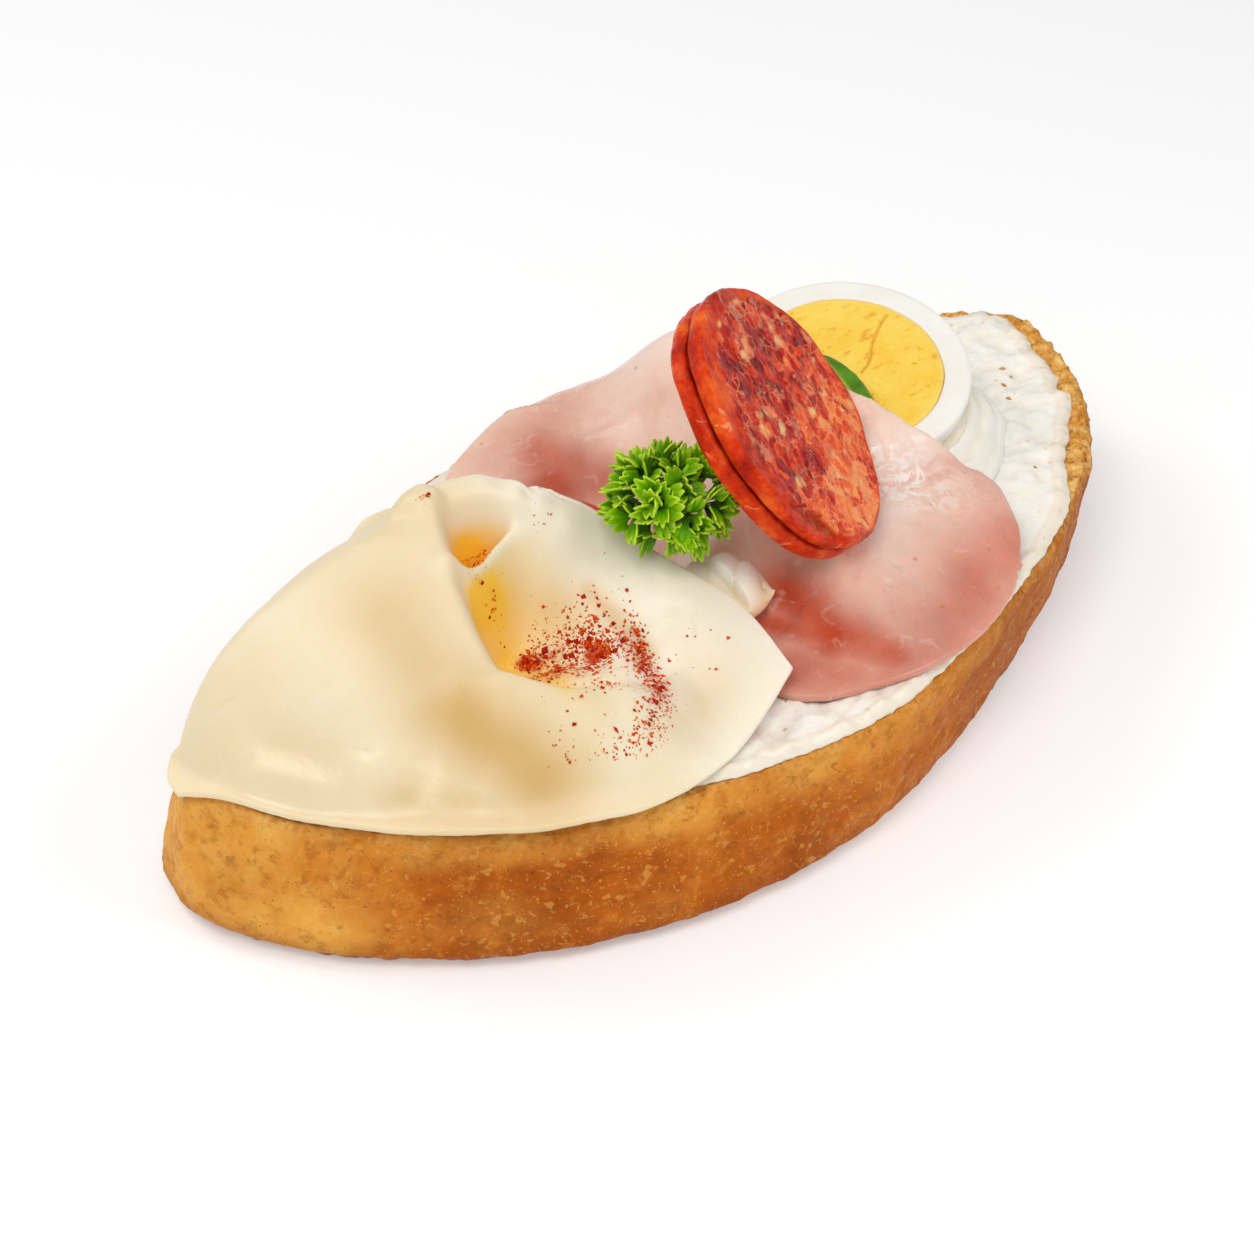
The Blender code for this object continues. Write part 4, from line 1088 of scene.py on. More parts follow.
def build_spread(mat):
    around = 760
    angle = np.linspace(-math.pi, math.pi, around, endpoint=False)
    ragged = 0.9 * perlin(3 * np.cos(angle), 3 * np.sin(angle), 0, 27) + 0.55 * perlin(22 * np.cos(angle), 22 * np.sin(angle), 0, 28)
    ex, ey = outline(RIM, angle, 0.0)
    end = smooth((ex - 50.0) / 16.0)
    front = smooth((-ey - 12.0) / 8.0) * smooth((ex + 30.0) / 10.0) * (1.0 - end)
    base = 2.4 + 1.6 * end - 1.5 * front
    inset = base + ragged * (0.5 + 1.1 * end - 0.1 * front) + 1.1 * end * perlin(9 * np.cos(angle), 9 * np.sin(angle), 0, 19)
    inset = np.maximum(inset + 0.25 * perlin(60 * np.cos(angle), 60 * np.sin(angle), 0, 29), 0.5)
    ox, oy = outline(RIM, angle, inset)
    rows, painted_shade = [], []
    for r in np.concatenate([np.linspace(0.04, 0.5, 8), np.linspace(0.53, 1.0, 62)]):
        x = LOAF_MIDDLE[0] + (ox - LOAF_MIDDLE[0]) * r
        y = LOAF_MIDDLE[1] + (oy - LOAF_MIDDLE[1]) * r
        z = spread_surface(x, y) - 0.9 * float(smooth((r - 0.975) / 0.025)) ** 1.5
        rows.append(np.stack([x, y, z], -1))
    floor = BREAD_HEIGHT + 0.2
    for s, drop in ((1.004, 0.75), (1.0, 1.0)):
        x = LOAF_MIDDLE[0] + (ox - LOAF_MIDDLE[0]) * s
        y = LOAF_MIDDLE[1] + (oy - LOAF_MIDDLE[1]) * s
        top = rows[-1][:, 2]
        rows.append(np.stack([x, y, mix(top, floor + rim_lift(x, y) * 0.9, drop)], -1))
    for r in (0.96, 0.6, 0.1):
        x = LOAF_MIDDLE[0] + (ox - LOAF_MIDDLE[0]) * r
        y = LOAF_MIDDLE[1] + (oy - LOAF_MIDDLE[1]) * r
        rows.append(np.stack([x, y, np.full(around, floor) + rim_lift(x, y) * 0.9], -1))
    grid = np.array(rows)
    z = grid[..., 2]
    # painted shade in the hollows of the spread; the edge rows get a fixed darker tint
    painted_shade = np.clip((blurred(z, 6) - z) * 2.2, 0, 1)
    thin = np.zeros(z.shape)
    thin[64:] = 0.35
    obj = ringed("cream_spread_layer", grid, [mat], {"painted_shade": np.clip(painted_shade * 0.5 + thin, 0, 1)})
    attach(obj, "root")
    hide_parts("spread")
    return obj


# -------------------------------------------------------------------- ham
def ham_detail(x, y):
    z = 0.22 * fbm(x / 7, y / 7, 0, 3, 31)
    crinkle = smooth((x - 20) / 8) * smooth((8 - y) / 8) * smooth((y + 24) / 8)
    z = z + crinkle * (0.30 * perlin(x / 2.4, y / 5.0, 0, 32) - 0.18 * np.abs(perlin(x / 1.5, y / 2.4, 0, 33)))
    for cx, cy, r, d in (
        (18.0, -21.1, 0.8, 0.45), (11.0, -20.0, 0.8, 0.4), (6.5, -12.8, 0.7, 0.4), (14.5, -23.5, 0.5, 0.3),
        (21.5, -18.0, 0.5, 0.3), (8.5, -17.0, 0.5, 0.25), (26.0, -24.0, 0.5, 0.25), (19.0, -26.5, 0.6, 0.3),
    ):
        z = z - d * spot(x, y, cx, cy, r)
    z = z + 0.22 * stroke(x, y, 1.5, 28.0, 5.0, 25.0, 0.35)
    return z


def build_ham(mat):
    r, angle = disc_grid(170)
    wave = 1.0 + 0.006 * perlin(6 * np.cos(angle), 6 * np.sin(angle), 0, 34)
    reach = ham_reach(angle) * r * wave
    x = HAM_CENTRE[0] + reach * np.cos(angle)
    y = HAM_CENTRE[1] + reach * np.sin(angle)
    z0 = ham_height(x, y)
    z = z0 + ham_detail(x, y)
    z = z - 0.25 * smooth((r - 0.965) / 0.035)
    grid = np.stack([x, y, z], -1)
    # painted shade: darker red in the ham's valleys and shaded places
    painted_shade = np.clip((blurred(z0, 90) - z0) / 1.6, 0, 1)
    flesh = 0.85 * painted_shade
    flesh = np.maximum(flesh, 1.0 * spot(x, y, -6.5, 23.0, 8.0, 6.5, 0.6))
    flesh = np.maximum(flesh, 0.40 * spot(x, y, -4.0, 33.0, 10.0, 6.0))
    flesh = np.maximum(flesh, 1.0 * stroke(x, y, -2.5, -15.0, 2.5, -24.0, 3.6))
    flesh = np.maximum(flesh, 0.95 * stroke(x, y, 2.5, -23.0, 8.0, -32.0, 5.2))
    flesh = np.maximum(flesh, 0.72 * stroke(x, y, 4.0, -35.5, 38.0, -25.0, 7.5))
    flesh = np.maximum(flesh, 0.40 * stroke(x, y, 38.0, -22.0, 41.0, -12.0, 4.0))
    a, b = in_view(x, y, z)
    flesh = np.maximum(flesh, 1.1 * stroke(a, b, 21.7, 4.8, 28.1, -1.2, 5.0))
    flesh = np.maximum(flesh, 0.72 * stroke(a, b, 22.4, -5.2, 38.8, -8.6, 5.4))
    flesh = np.maximum(flesh, 0.85 * stroke(a, b, -11.9, 23.2, -3.7, 20.4, 4.8))
    flesh = flesh * (0.90 + 0.16 * perlin(x / 6, y / 6, 0, 35))
    # painted light along the ham's crests, and a thin pale streak
    pale = 0.6 * spot(x, y, 8.0, 2.0, 4.5, 10.0, -0.4) + 0.6 * spot(x, y, 17.0, 29.0, 8.0, 5.0, -0.4)
    pale = pale + 0.7 * stroke(x, y, 18.0, -14.0, 34.0, -8.0, 5.0) + 0.45 * stroke(x, y, 1.0, -24.5, 5.0, -28.5, 0.8)
    obj = sheet(
        "ham_folded_slice", grid, HAM_THICK, [mat],
        {
            "flesh": np.clip(flesh, 0, 1), "pale": np.clip(pale, 0, 1),
            "sheen": np.clip(1.3 * spot(x, y, 28.5, -9.5, 7.0, 4.6, -0.7) + 0.7 * spot(x, y, 24.5, -1.5, 4.5, 3.4), 0, 1),
        },
    )
    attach(obj, "root")
    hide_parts("ham_slice")
    return obj


# ----------------------------------------------------------------- cheese
# Where the paprika lies: x, y, spread along, spread across, turn, count.
PAPRIKA = (
    (-23.9, -8.3, 1.2, 1.0, 0.5, 1100),
    (-32.2, -4.2, 2.2, 0.9, -0.9, 1300),
    (-28.2, -4.6, 3.0, 1.7, -0.2, 620),
    (-25.5, -6.0, 2.6, 1.8, 0.3, 300),
    (-31.0, -7.5, 2.6, 1.8, -0.6, 200),
    (-20.8, -9.0, 1.8, 1.0, -0.7, 190),
    (-19.6, -13.2, 2.6, 0.8, 1.2, 380),
    (-22.8, -19.4, 3.2, 0.9, 1.05, 330),
    (-27.6, -25.4, 3.0, 1.2, 0.6, 200),
    (-35.0, -27.8, 3.6, 1.2, 0.2, 130),
    (-35.6, 2.1, 1.3, 0.5, 0.4, 70),
    (-37.2, 10.4, 0.5, 0.4, 0.0, 22),
    (-25.5, -10.0, 4.0, 3.0, 0.3, 150),
    (-30.5, -19.0, 1.6, 1.2, 0.3, 60),
    (-39.0, -24.0, 2.6, 2.0, 0.3, 34),
    (-22.0, 5.5, 1.6, 0.6, 0.2, 14),
    (-16.0, -16.0, 3.0, 2.4, 0.3, 24),
)


def cheese_surface(x, y):
    return cheese_height(x, y) + cheese_detail(x, y)


def build_cheese(mat):
    u = crowd(np.linspace(0, 1, 220), 0.72, 0.45)
    v = crowd(np.linspace(0, 1, 182), 0.75, 0.4)
    u, v = np.meshgrid(u, v, indexing="ij")
    plan = cheese_plan(u, v)
    x, y = plan[..., 0], plan[..., 1]
    z0 = blurred(cheese_height(x, y), 14)
    z = z0 + cheese_detail(x, y)
    grid = np.stack([x, y, z], -1)
    a, b = in_view(x, y, z)
    beyond = smooth((x - np.interp(y, LIP_Y, LIP_X) - 1.0) / 2.5)
    # painted shade: darker, yellower tint in hollows and on the slopes turned from the light
    painted_shade = np.clip((blurred(z0, 160) - z0) / 3.2, 0, 1)
    painted_shade = painted_shade * 0.18 * smooth((x + 50.0) / 12.0)
    painted_shade = np.maximum(painted_shade, 0.95 * stroke(a, b, -23.6, -11.7, -11.9, -20.3, 6.4))
    painted_shade = np.maximum(painted_shade, 0.55 * stroke(a, b, -33.2, 1.0, -23.6, -10.7, 6.4) * (1 - beyond))
    painted_shade = np.maximum(painted_shade, 0.45 * stroke(a, b, -29.8, -23.0, -17.4, -25.1, 4.0))
    painted_shade = np.maximum(painted_shade, 0.42 * spot(a, b, 10.0, -10.7, 5.0, 8.0, -0.6))
    painted_shade = np.maximum(painted_shade, 0.20 * spot(a, b, -44.9, -18.2, 6.0, 4.0))
    painted_shade = np.maximum(painted_shade, 0.60 * stroke(a, b, -5.1, 4.8, 2.5, -3.2, 1.8) * beyond)
    painted_shade = np.maximum(painted_shade, 0.45 * spot(a, b, -9.2, 2.3, 6.0, 4.0) * beyond)
    # painted shade and bounced light inside the openings, where paprika also stains the cheese
    pocket = 1.0 * stroke(a, b, -22.9, 7.8, -20.4, 3.7, 3.4) + 0.55 * stroke(a, b, -21.0, 5.1, -17.4, -2.9, 3.6)
    pocket = pocket + 0.36 * stroke(a, b, -17.4, 7.5, -11.9, -1.8, 7.0)
    pocket = pocket * beyond * smooth((40.9 - z0) / 1.4)
    pocket = pocket + 0.66 * spot(a, b, -22.4, 11.5, 4.6, 4.2) * smooth((42.2 - z0) / 1.8) * smooth((y - 4.0) / 2.0)
    pocket = pocket + 0.45 * stroke(a, b, -16.7, -5.6, -9.2, -7.8, 2.0) * beyond
    mauve = 0.5 * stroke(a, b, 0.1, -1.8, 4.8, -8.6, 1.6) * beyond
    wet = stroke(x, y, -73.0, 4.0, -63.0, -8.5, 3.2) + stroke(x, y, -74.0, -1.0, -52.0, -21.0, 3.6)
    wet = wet + 0.6 * spot(x, y, -24.0, -27.0, 5.0, 3.0, 0.5)
    rust = 0.9 * spot(x, y, -23.9, -8.3, 1.9, 1.5, 0.5) + 0.55 * spot(x, y, -32.0, -4.0, 3.0, 1.3, -0.9)
    rust = rust + 0.45 * spot(x, y, -28.2, -4.6, 3.2, 1.8, -0.2) + 0.30 * stroke(x, y, -19.0, -12.0, -23.5, -21.0, 1.2)
    obj = sheet(
        "cheese_draped_slice", grid, CHEESE_THICK, [mat],
        {
            "painted_shade": np.clip(painted_shade, 0, 1), "pocket": np.clip(pocket, 0, 1),
            "mauve": np.clip(mauve, 0, 1), "paprika": np.clip(rust, 0, 1),
            # painted light on the right-hand flap
            "flap_painted_light": smooth((x + 34.0) / 14.0), "wet": np.clip(wet, 0, 1),
        },
    )
    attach(obj, "root")
    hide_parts("cheese_slice")
    return obj


# ------------------------------------------------------- scattered pieces
def chips(name, points, normals, sizes, flat, mat, rng, tones):
    """Small irregular chips, each a squashed, jittered eight-sided lump."""
    base = np.array([(1, 0, 0), (-1, 0, 0), (0, 1, 0), (0, -1, 0), (0, 0, 1), (0, 0, -1)], float)
    tri = np.array([(0, 2, 4), (2, 1, 4), (1, 3, 4), (3, 0, 4), (2, 0, 5), (1, 2, 5), (3, 1, 5), (0, 3, 5)])
    count = len(points)
    jitter = 1.0 + 0.45 * (rng.random((count, 6, 1)) - 0.5) * 2
    shape = base[None] * jitter + 0.25 * (rng.random((count, 6, 3)) - 0.5)
    spin = rng.random(count) * TAU
    c, s = np.cos(spin), np.sin(spin)
    stretch = 0.7 + 0.9 * rng.random(count)
    shape[..., 0] *= stretch[:, None]
    shape[..., 2] *= flat
    x = shape[..., 0] * c[:, None] - shape[..., 1] * s[:, None]
    y = shape[..., 0] * s[:, None] + shape[..., 1] * c[:, None]
    z = shape[..., 2]
    n = normals / np.linalg.norm(normals, axis=1, keepdims=True)
    a = np.cross(n, np.array([0.0, 1.0, 0.0]))
    a /= np.linalg.norm(a, axis=1, keepdims=True)
    b = np.cross(n, a)
    half = (sizes / 2)[:, None, None]
    verts = points[:, None] + half * (x[..., None] * a[:, None] + y[..., None] * b[:, None] + z[..., None] * n[:, None])
    faces = (tri[None] + 6 * np.arange(count)[:, None, None]).reshape(-1, 3)
    return make_object(name, verts.reshape(-1, 3), [faces], [mat], {"tone": np.repeat(tones, 6)})


def surface_points(height, x, y, lift):
    e = 0.2
    z = height(x, y)
    nx = -(height(x + e, y) - height(x - e, y)) / (2 * e)
    ny = -(height(x, y + e) - height(x, y - e)) / (2 * e)
    n = np.stack([nx, ny, np.ones(len(x))], -1)
    n /= np.linalg.norm(n, axis=1, keepdims=True)
    return np.stack([x, y, z], -1) + n * lift[:, None], n


def build_paprika(mat):
    rng = np.random.default_rng(9)
    xs, ys = [], []
    for px, py, sx, sy, turn, count in PAPRIKA:
        a, b = rng.normal(size=count) * sx, rng.normal(size=count) * sy
        xs.append(px + a * math.cos(turn) - b * math.sin(turn))
        ys.append(py + a * math.sin(turn) + b * math.cos(turn))
    x, y = np.concatenate(xs), np.concatenate(ys)
    keep = (rim_share(x, y) < 0.93) & (x < -9.0)
    x, y = x[keep], y[keep]
    size = np.clip(rng.lognormal(-1.45, 0.48, len(x)), 0.10, 0.85)
    points, normals = surface_points(cheese_surface, x, y, 0.12 * size)
    tones = np.clip(rng.random(len(x)) * 0.9 + 0.1 * rng.random(len(x)) - 0.25 * (size > 0.5), 0, 1)
    obj = chips("paprika_flakes", points, normals, size, 0.45, mat, rng, tones)
    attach(obj, "root")
    return obj


def build_crumbs(mat):
    rng = np.random.default_rng(12)
    x = np.concatenate([rng.uniform(46, 76, 14), rng.uniform(-14, 30, 22), rng.uniform(-24, -5, 6), [-22.1, 64.0, 66.5, 62.0]])
    y = np.concatenate([rng.uniform(-20, 30, 14), rng.uniform(-35, -26, 22), rng.uniform(35, 40, 6), [-31.1, 6.0, 9.0, 3.0]])
    size = np.concatenate([np.clip(rng.lognormal(-0.9, 0.4, 42), 0.2, 0.9), [1.5, 1.1, 1.3, 0.9]])
    tone = np.concatenate([0.4 + 0.6 * rng.random(42), [0.35, 0.5, 0.6, 0.5]])
    keep = rim_share(x, y) < 0.95
    x, y, size, tone = x[keep], y[keep], size[keep], tone[keep]
    points, normals = surface_points(spread_surface, x, y, 0.05 * size)
    obj = chips("bread_crumbs", points, normals, size, 0.6, mat, rng, tone)
    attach(obj, "root")
    return obj


# ----------------------------------------------------------- round slices
def slice_frame(centre, normal):
    n = Vector(normal).normalized()
    rot = np.array(Vector((0, 0, 1)).rotation_difference(n).to_matrix())
    return rot, np.array(centre, float)


def place(local, rot, centre):
    return local @ rot.T + centre


def lean_of(direction):
    """The angle, in the slice's own plane, that lies nearest a direction."""
    rot, _ = slice_frame((0, 0, 0), SALAMI_NORMAL)
    local = np.array(direction) @ rot
    return math.atan2(local[1], local[0])


def build_salami(name, node, centre, bow, seed, mat, step):
    rot, at = slice_frame(centre, SALAMI_NORMAL)
    around = 300
    LEAN = lean_of((-0.80, 0.50, -0.30))
    UP_RIGHT = lean_of((0.85, -0.05, 0.55))
    angle = np.linspace(0, TAU, around, endpoint=False)
    edge = SALAMI_RADIUS * (1 + 0.012 * np.cos(2 * angle + seed) + 0.008 * np.sin(5 * angle + seed))
    edge = edge + 0.32 * perlin(3.2 * np.cos(angle), 3.2 * np.sin(angle), seed, 44)
    edge = edge + 0.12 * perlin(9 * np.cos(angle), 9 * np.sin(angle), seed, 46)
    edge = edge + 0.9 * np.exp(-(((angle - UP_RIGHT + math.pi) % TAU - math.pi) / 0.55) ** 2)
    sag = 0.35 * perlin(2.2 * np.cos(angle), 2.2 * np.sin(angle), seed, 49)
    rows, skin, shade = [], [], []

    def lift(r):
        return bow * r * r * np.cos(angle + seed) + sag * r**3

    def face_z(r, x, y, side):
        n = perlin(x / 2.6, y / 2.6, side, 42 + side)
        fine = perlin(x / 1.0, y / 1.0, side, 45 + side)
        return 0.16 * n + 0.09 * fine - 0.14 * np.abs(perlin(x / 1.7, y / 1.7, side, 47))

    for r in np.concatenate([np.linspace(0.02, 0.95, 62), [0.965, 0.978]]):
        x, y = edge * r * np.cos(angle), edge * r * np.sin(angle)
        z = lift(r) + face_z(r, x, y, 0) * float(smooth((0.985 - r) / 0.05))
        local = np.stack([x, y, z], -1)
        sh = np.zeros(around)
        if step:
            world = place(local, rot, at)
            # a torn patch of the face, one layer lower, near the lower left edge
            a = np.array((1.4, -19.4, 46.6)), np.array((5.1, -19.3, 43.6)), np.array((7.3, -21.3, 39.9))
            inv = [(p - at) @ rot for p in a]
            d1 = along(x, y, inv[0][0], inv[0][1], inv[1][0], inv[1][1])[1]
            d2 = along(x, y, inv[1][0], inv[1][1], inv[2][0], inv[2][1])[1]
            d = np.where(np.abs(d1) < np.abs(d2), d1, d2)
            ref = along(np.array(0.0), np.array(0.0), inv[0][0], inv[0][1], inv[1][0], inv[1][1])[1]
            side = d * np.sign(ref)
            torn_here = smooth((-side + 0.25) / 0.5)
            local[:, 2] -= 0.85 * torn_here
            sh = torn_here * 0.7
        rows.append(local)
        # the skin shows broader on the side that leans towards the cheese
        lean = 0.5 + 0.5 * np.cos(angle - LEAN)
        broad = 0.945 - 0.15 * lean**2 + 0.012 * perlin(6 * np.cos(angle), 6 * np.sin(angle), seed, 50)
        skin.append(smooth((r - broad) / 0.035) * 0.95)
        shade.append(sh)
    # rounded skin
    top_last = rows[-1][:, 2]
    for t in np.linspace(0.12, 0.88, 9):
        z = mix(top_last, lift(1.0) - SALAMI_THICK, t)
        round_in = 0.45 * (abs(2 * t - 1) ** 3)
        rr = edge - round_in + 0.14 * perlin(14 * np.cos(angle), 14 * np.sin(angle), t * 4, 48)
        rr = rr - 0.16 * np.abs(perlin(5 * np.cos(angle), 5 * np.sin(angle), t * 3, 43))
        rows.append(np.stack([rr * np.cos(angle), rr * np.sin(angle), z], -1))
        skin.append(np.ones(around))
        shade.append(np.zeros(around))
    for r in np.concatenate([[0.978, 0.96], np.linspace(0.93, 0.03, 34)]):
        x, y = edge * r * np.cos(angle), edge * r * np.sin(angle)
        z = lift(r) - SALAMI_THICK + face_z(r, x, y, 1) * float(smooth((0.985 - r) / 0.05))
        rows.append(np.stack([x, y, z], -1))
        skin.append(np.full(around, float(smooth((r - 0.93) / 0.04)) * 0.9))
        shade.append(np.full(around, 0.25))
    grid = place(np.array(rows), rot, at)
    # the lower half of the slice is the lighter, redder one
    glow = smooth((52.0 - grid[..., 2]) / 14.0)
    obj = ringed(name, grid, [mat], {"skin": np.array(skin), "shade": np.array(shade), "glow": glow})
    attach(obj, "root")
    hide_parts(node)
    return obj


def build_egg(white_mat, yolk_mat):
    normal = (-AWAY[0] * math.sin(EGG_TILT), -AWAY[1] * math.sin(EGG_TILT), math.cos(EGG_TILT))
    rot, at = slice_frame(EGG_FACE, normal)
    around = 240
    angle = np.linspace(0, TAU, around, endpoint=False)
    c, s = np.cos(angle), np.sin(angle)
    hole = YOLK_RADIUS + 0.05
    outer = EGG_RADIUS
    oval = 1.0 + 0.006 * np.cos(2 * angle + 0.7) + 0.003 * perlin(3 * c, 3 * s, 0, 51)
    inner = 1.0 + 0.010 * perlin(2.5 * c, 2.5 * s, 0, 52)
    profile = [
        (hole, -EGG_THICK + 0.1), (hole + 0.6, -EGG_THICK), (outer - 1.9, -EGG_THICK), (outer - 1.5, -EGG_THICK + 0.1),
        (outer - 1.0, -EGG_THICK + 0.5), (outer - 0.65, -EGG_THICK + 1.2), (outer - 0.42, -EGG_THICK + 2.0),
        (outer - 0.25, -EGG_THICK + 2.8), (outer - 0.14, -1.2), (outer - 0.10, -0.7), (outer - 0.14, -0.42),
        (outer - 0.26, -0.2), (outer - 0.48, -0.06), (outer - 0.8, 0.0),
    ]
    for k in range(1, 11):
        t = k / 11
        profile.append((mix(outer - 0.8, hole + 0.5, t), 0.0))
    profile += [(hole + 0.5, 0.0), (hole + 0.22, -0.05), (hole + 0.06, -0.18), (hole, -0.4), (hole, -2.0)]
    verts = []
    for r, z in profile:
        share = (r - hole) / (outer - hole)
        rr = r * mix(inner, oval, share)
        relief = (0.0 if z < -0.3 else 0.05) * perlin(rr * c / 2.5, rr * s / 2.5, 0, 53)
        verts.append(np.stack([rr * c, rr * s, z + relief], -1))
    grid = place(np.array(verts), rot, at)
    count = len(profile)
    quads = stitch(count, around, True)
    last = (count - 1) * around
    k = np.arange(around)
    n = (k + 1) % around
    close = np.stack([last + k, last + n, n, k], -1)
    white = make_object("egg_white_ring", grid.reshape(-1, 3), [np.concatenate([quads, close])], [white_mat])
    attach(white, "root")
    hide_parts("egg_white")

    # the crack runs in from the yolk's edge
    def local(p):
        return (np.array(p) - at) @ rot

    crack = [local(p) for p in ((49.0, 16.6, 37.0), (44.6, 14.3, 36.1), (41.3, 11.3, 35.3), (38.9, 10.2, 34.8))]
    rows, cracks, rims = [], [], []
    edge = YOLK_RADIUS - 0.03
    for r in np.linspace(0.02, 1.0, 84):
        x, y = edge * r * inner * c, edge * r * inner * s
        z = 0.15 - 0.12 * r * r - 0.22 * float(smooth((r - 0.955) / 0.045)) ** 2
        line = np.zeros(around)
        wiggle = 0.25 * perlin(x / 1.2, y / 1.2, 0, 54)
        for a, b in zip(crack, crack[1:]):
            d = along(x, y, a[0], a[1], b[0], b[1])[1]
            line = np.maximum(line, np.exp(-(((d + wiggle) / 0.22) ** 2)))
        crumbly = 0.07 * fbm(x / 1.6, y / 0.8, 0, 3, 55) - 0.16 * smooth((0.24 - cells(x / 1.5, y / 1.1, 0, 6)[0]) / 0.14)
        z = z + crumbly * float(smooth((1 - r) / 0.04)) - 0.35 * line
        rows.append(np.stack([x, y, z], -1))
        cracks.append(line * 0.8)
        rims.append(np.full(around, 0.7 * float(smooth((r - 0.93) / 0.07))))
    for z, shrink in ((-1.0, 0.0), (-2.5, 0.0), (-EGG_THICK + 0.4, 0.1), (-EGG_THICK + 0.15, 0.5)):
        rr = (edge - shrink) * inner
        rows.append(np.stack([rr * c, rr * s, np.full(around, z)], -1))
        cracks.append(np.zeros(around))
        rims.append(np.zeros(around))
    for r in (0.7, 0.35, 0.05):
        x, y = edge * r * c, edge * r * s
        rows.append(np.stack([x, y, -EGG_THICK + 0.1 + 0.05 * perlin(x / 2, y / 2, 0, 56)], -1))
        cracks.append(np.zeros(around))
        rims.append(np.zeros(around))
    yolk = ringed("egg_yolk_disc", place(np.array(rows), rot, at), [yolk_mat], {"crack": np.array(cracks), "rim": np.array(rims)})
    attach(yolk, "root")
    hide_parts("egg_yolk")


def build_tomato(name, node, centre, tilt, heading, radius, thick, mat, seed):
    """Half a round slice: a rounded skin round the arc and a flat cut across."""
    turn_z = np.array(Matrix.Rotation(heading - math.pi / 2, 3, "Z"))
    turn_x = np.array(Matrix.Rotation(tilt, 3, "X"))
    rot = turn_z @ turn_x
    steps, bands = 120, 14
    angle = np.linspace(0, math.pi, steps)
    radii = np.linspace(0.0, 1.0, 24)
    upper, lower, sa, sb = [], [], [], []
    for r in radii:
        reach = radius * (1 + 0.02 * np.cos(5 * angle)) * r
        x, y = reach * np.cos(angle), reach * np.sin(angle)
        relief = 0.10 * fbm(x / 2.5, y / 2.5, seed, 3, 61) * float(smooth((0.95 - r) / 0.1))
        soft = 0.45 * float(smooth((r - 0.93) / 0.07)) ** 2
        upper.append(np.stack([x, y, relief - soft], -1))
        lower.append(np.stack([x, y, -thick - relief + soft], -1))
        sa.append(np.full(steps, float(smooth((r - 0.92) / 0.05))))
    side = []
    for t in np.linspace(0, 1, bands)[1:-1]:
        bulge = 0.25 * math.sin(math.pi * t) ** 0.7
        reach = radius * (1 + 0.02 * np.cos(5 * angle)) + bulge
        z = mix(upper[-1][:, 2], lower[-1][:, 2], t)
        side.append(np.stack([reach * np.cos(angle), reach * np.sin(angle), z], -1))
    rows = np.array(upper + side + lower[::-1])
    skin = np.array(sa + [np.ones(steps)] * len(side) + sa[::-1])
    count = len(rows)
    verts = rows.reshape(-1, 3)
    quads = stitch(count, steps)
    # close the straight cut: its outline runs down one end and back up the other
    n = steps
    left = np.arange(count) * n
    right = left + n - 1
    half = len(radii)
    cut = []
    for i in range(1, half):
        # upper row i with lower row i at both ends, joined through the middle
        j = count - 1 - i
        a, b = i, i - 1
        cut.append((left[b], left[a], left[count - 1 - a], left[count - 1 - b]))
        cut.append((right[a], right[b], right[count - 1 - b], right[count - 1 - a]))
    cut = np.array(cut)
    fan_l = [(left[half - 1], left[half - 1 + k], left[half + k]) for k in range(1, len(side) + 1)]
    fan_r = [(right[half - 1], right[half + k], right[half - 1 + k]) for k in range(1, len(side) + 1)]
    world = verts @ rot.T + np.array(centre)
    obj = make_object(name, world, [quads, cut, np.array(fan_l + fan_r)], [mat], {"skin": skin.reshape(-1)})
    bm_clean(obj)
    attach(obj, "root")
    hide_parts(node)
    return rot


def bm_clean(obj):
    """Welds the doubled points at a slice's middle and closes it."""
    import bmesh

    bm = bmesh.new()
    bm.from_mesh(obj.data)
    bmesh.ops.remove_doubles(bm, verts=bm.verts, dist=1e-6)
    bmesh.ops.dissolve_degenerate(bm, dist=1e-7, edges=bm.edges)
    holes = [e for e in bm.edges if e.is_boundary]
    if holes:
        bmesh.ops.holes_fill(bm, edges=holes, sides=0)
    bmesh.ops.recalc_face_normals(bm, faces=bm.faces)
    bm.to_mesh(obj.data)
    bm.free()


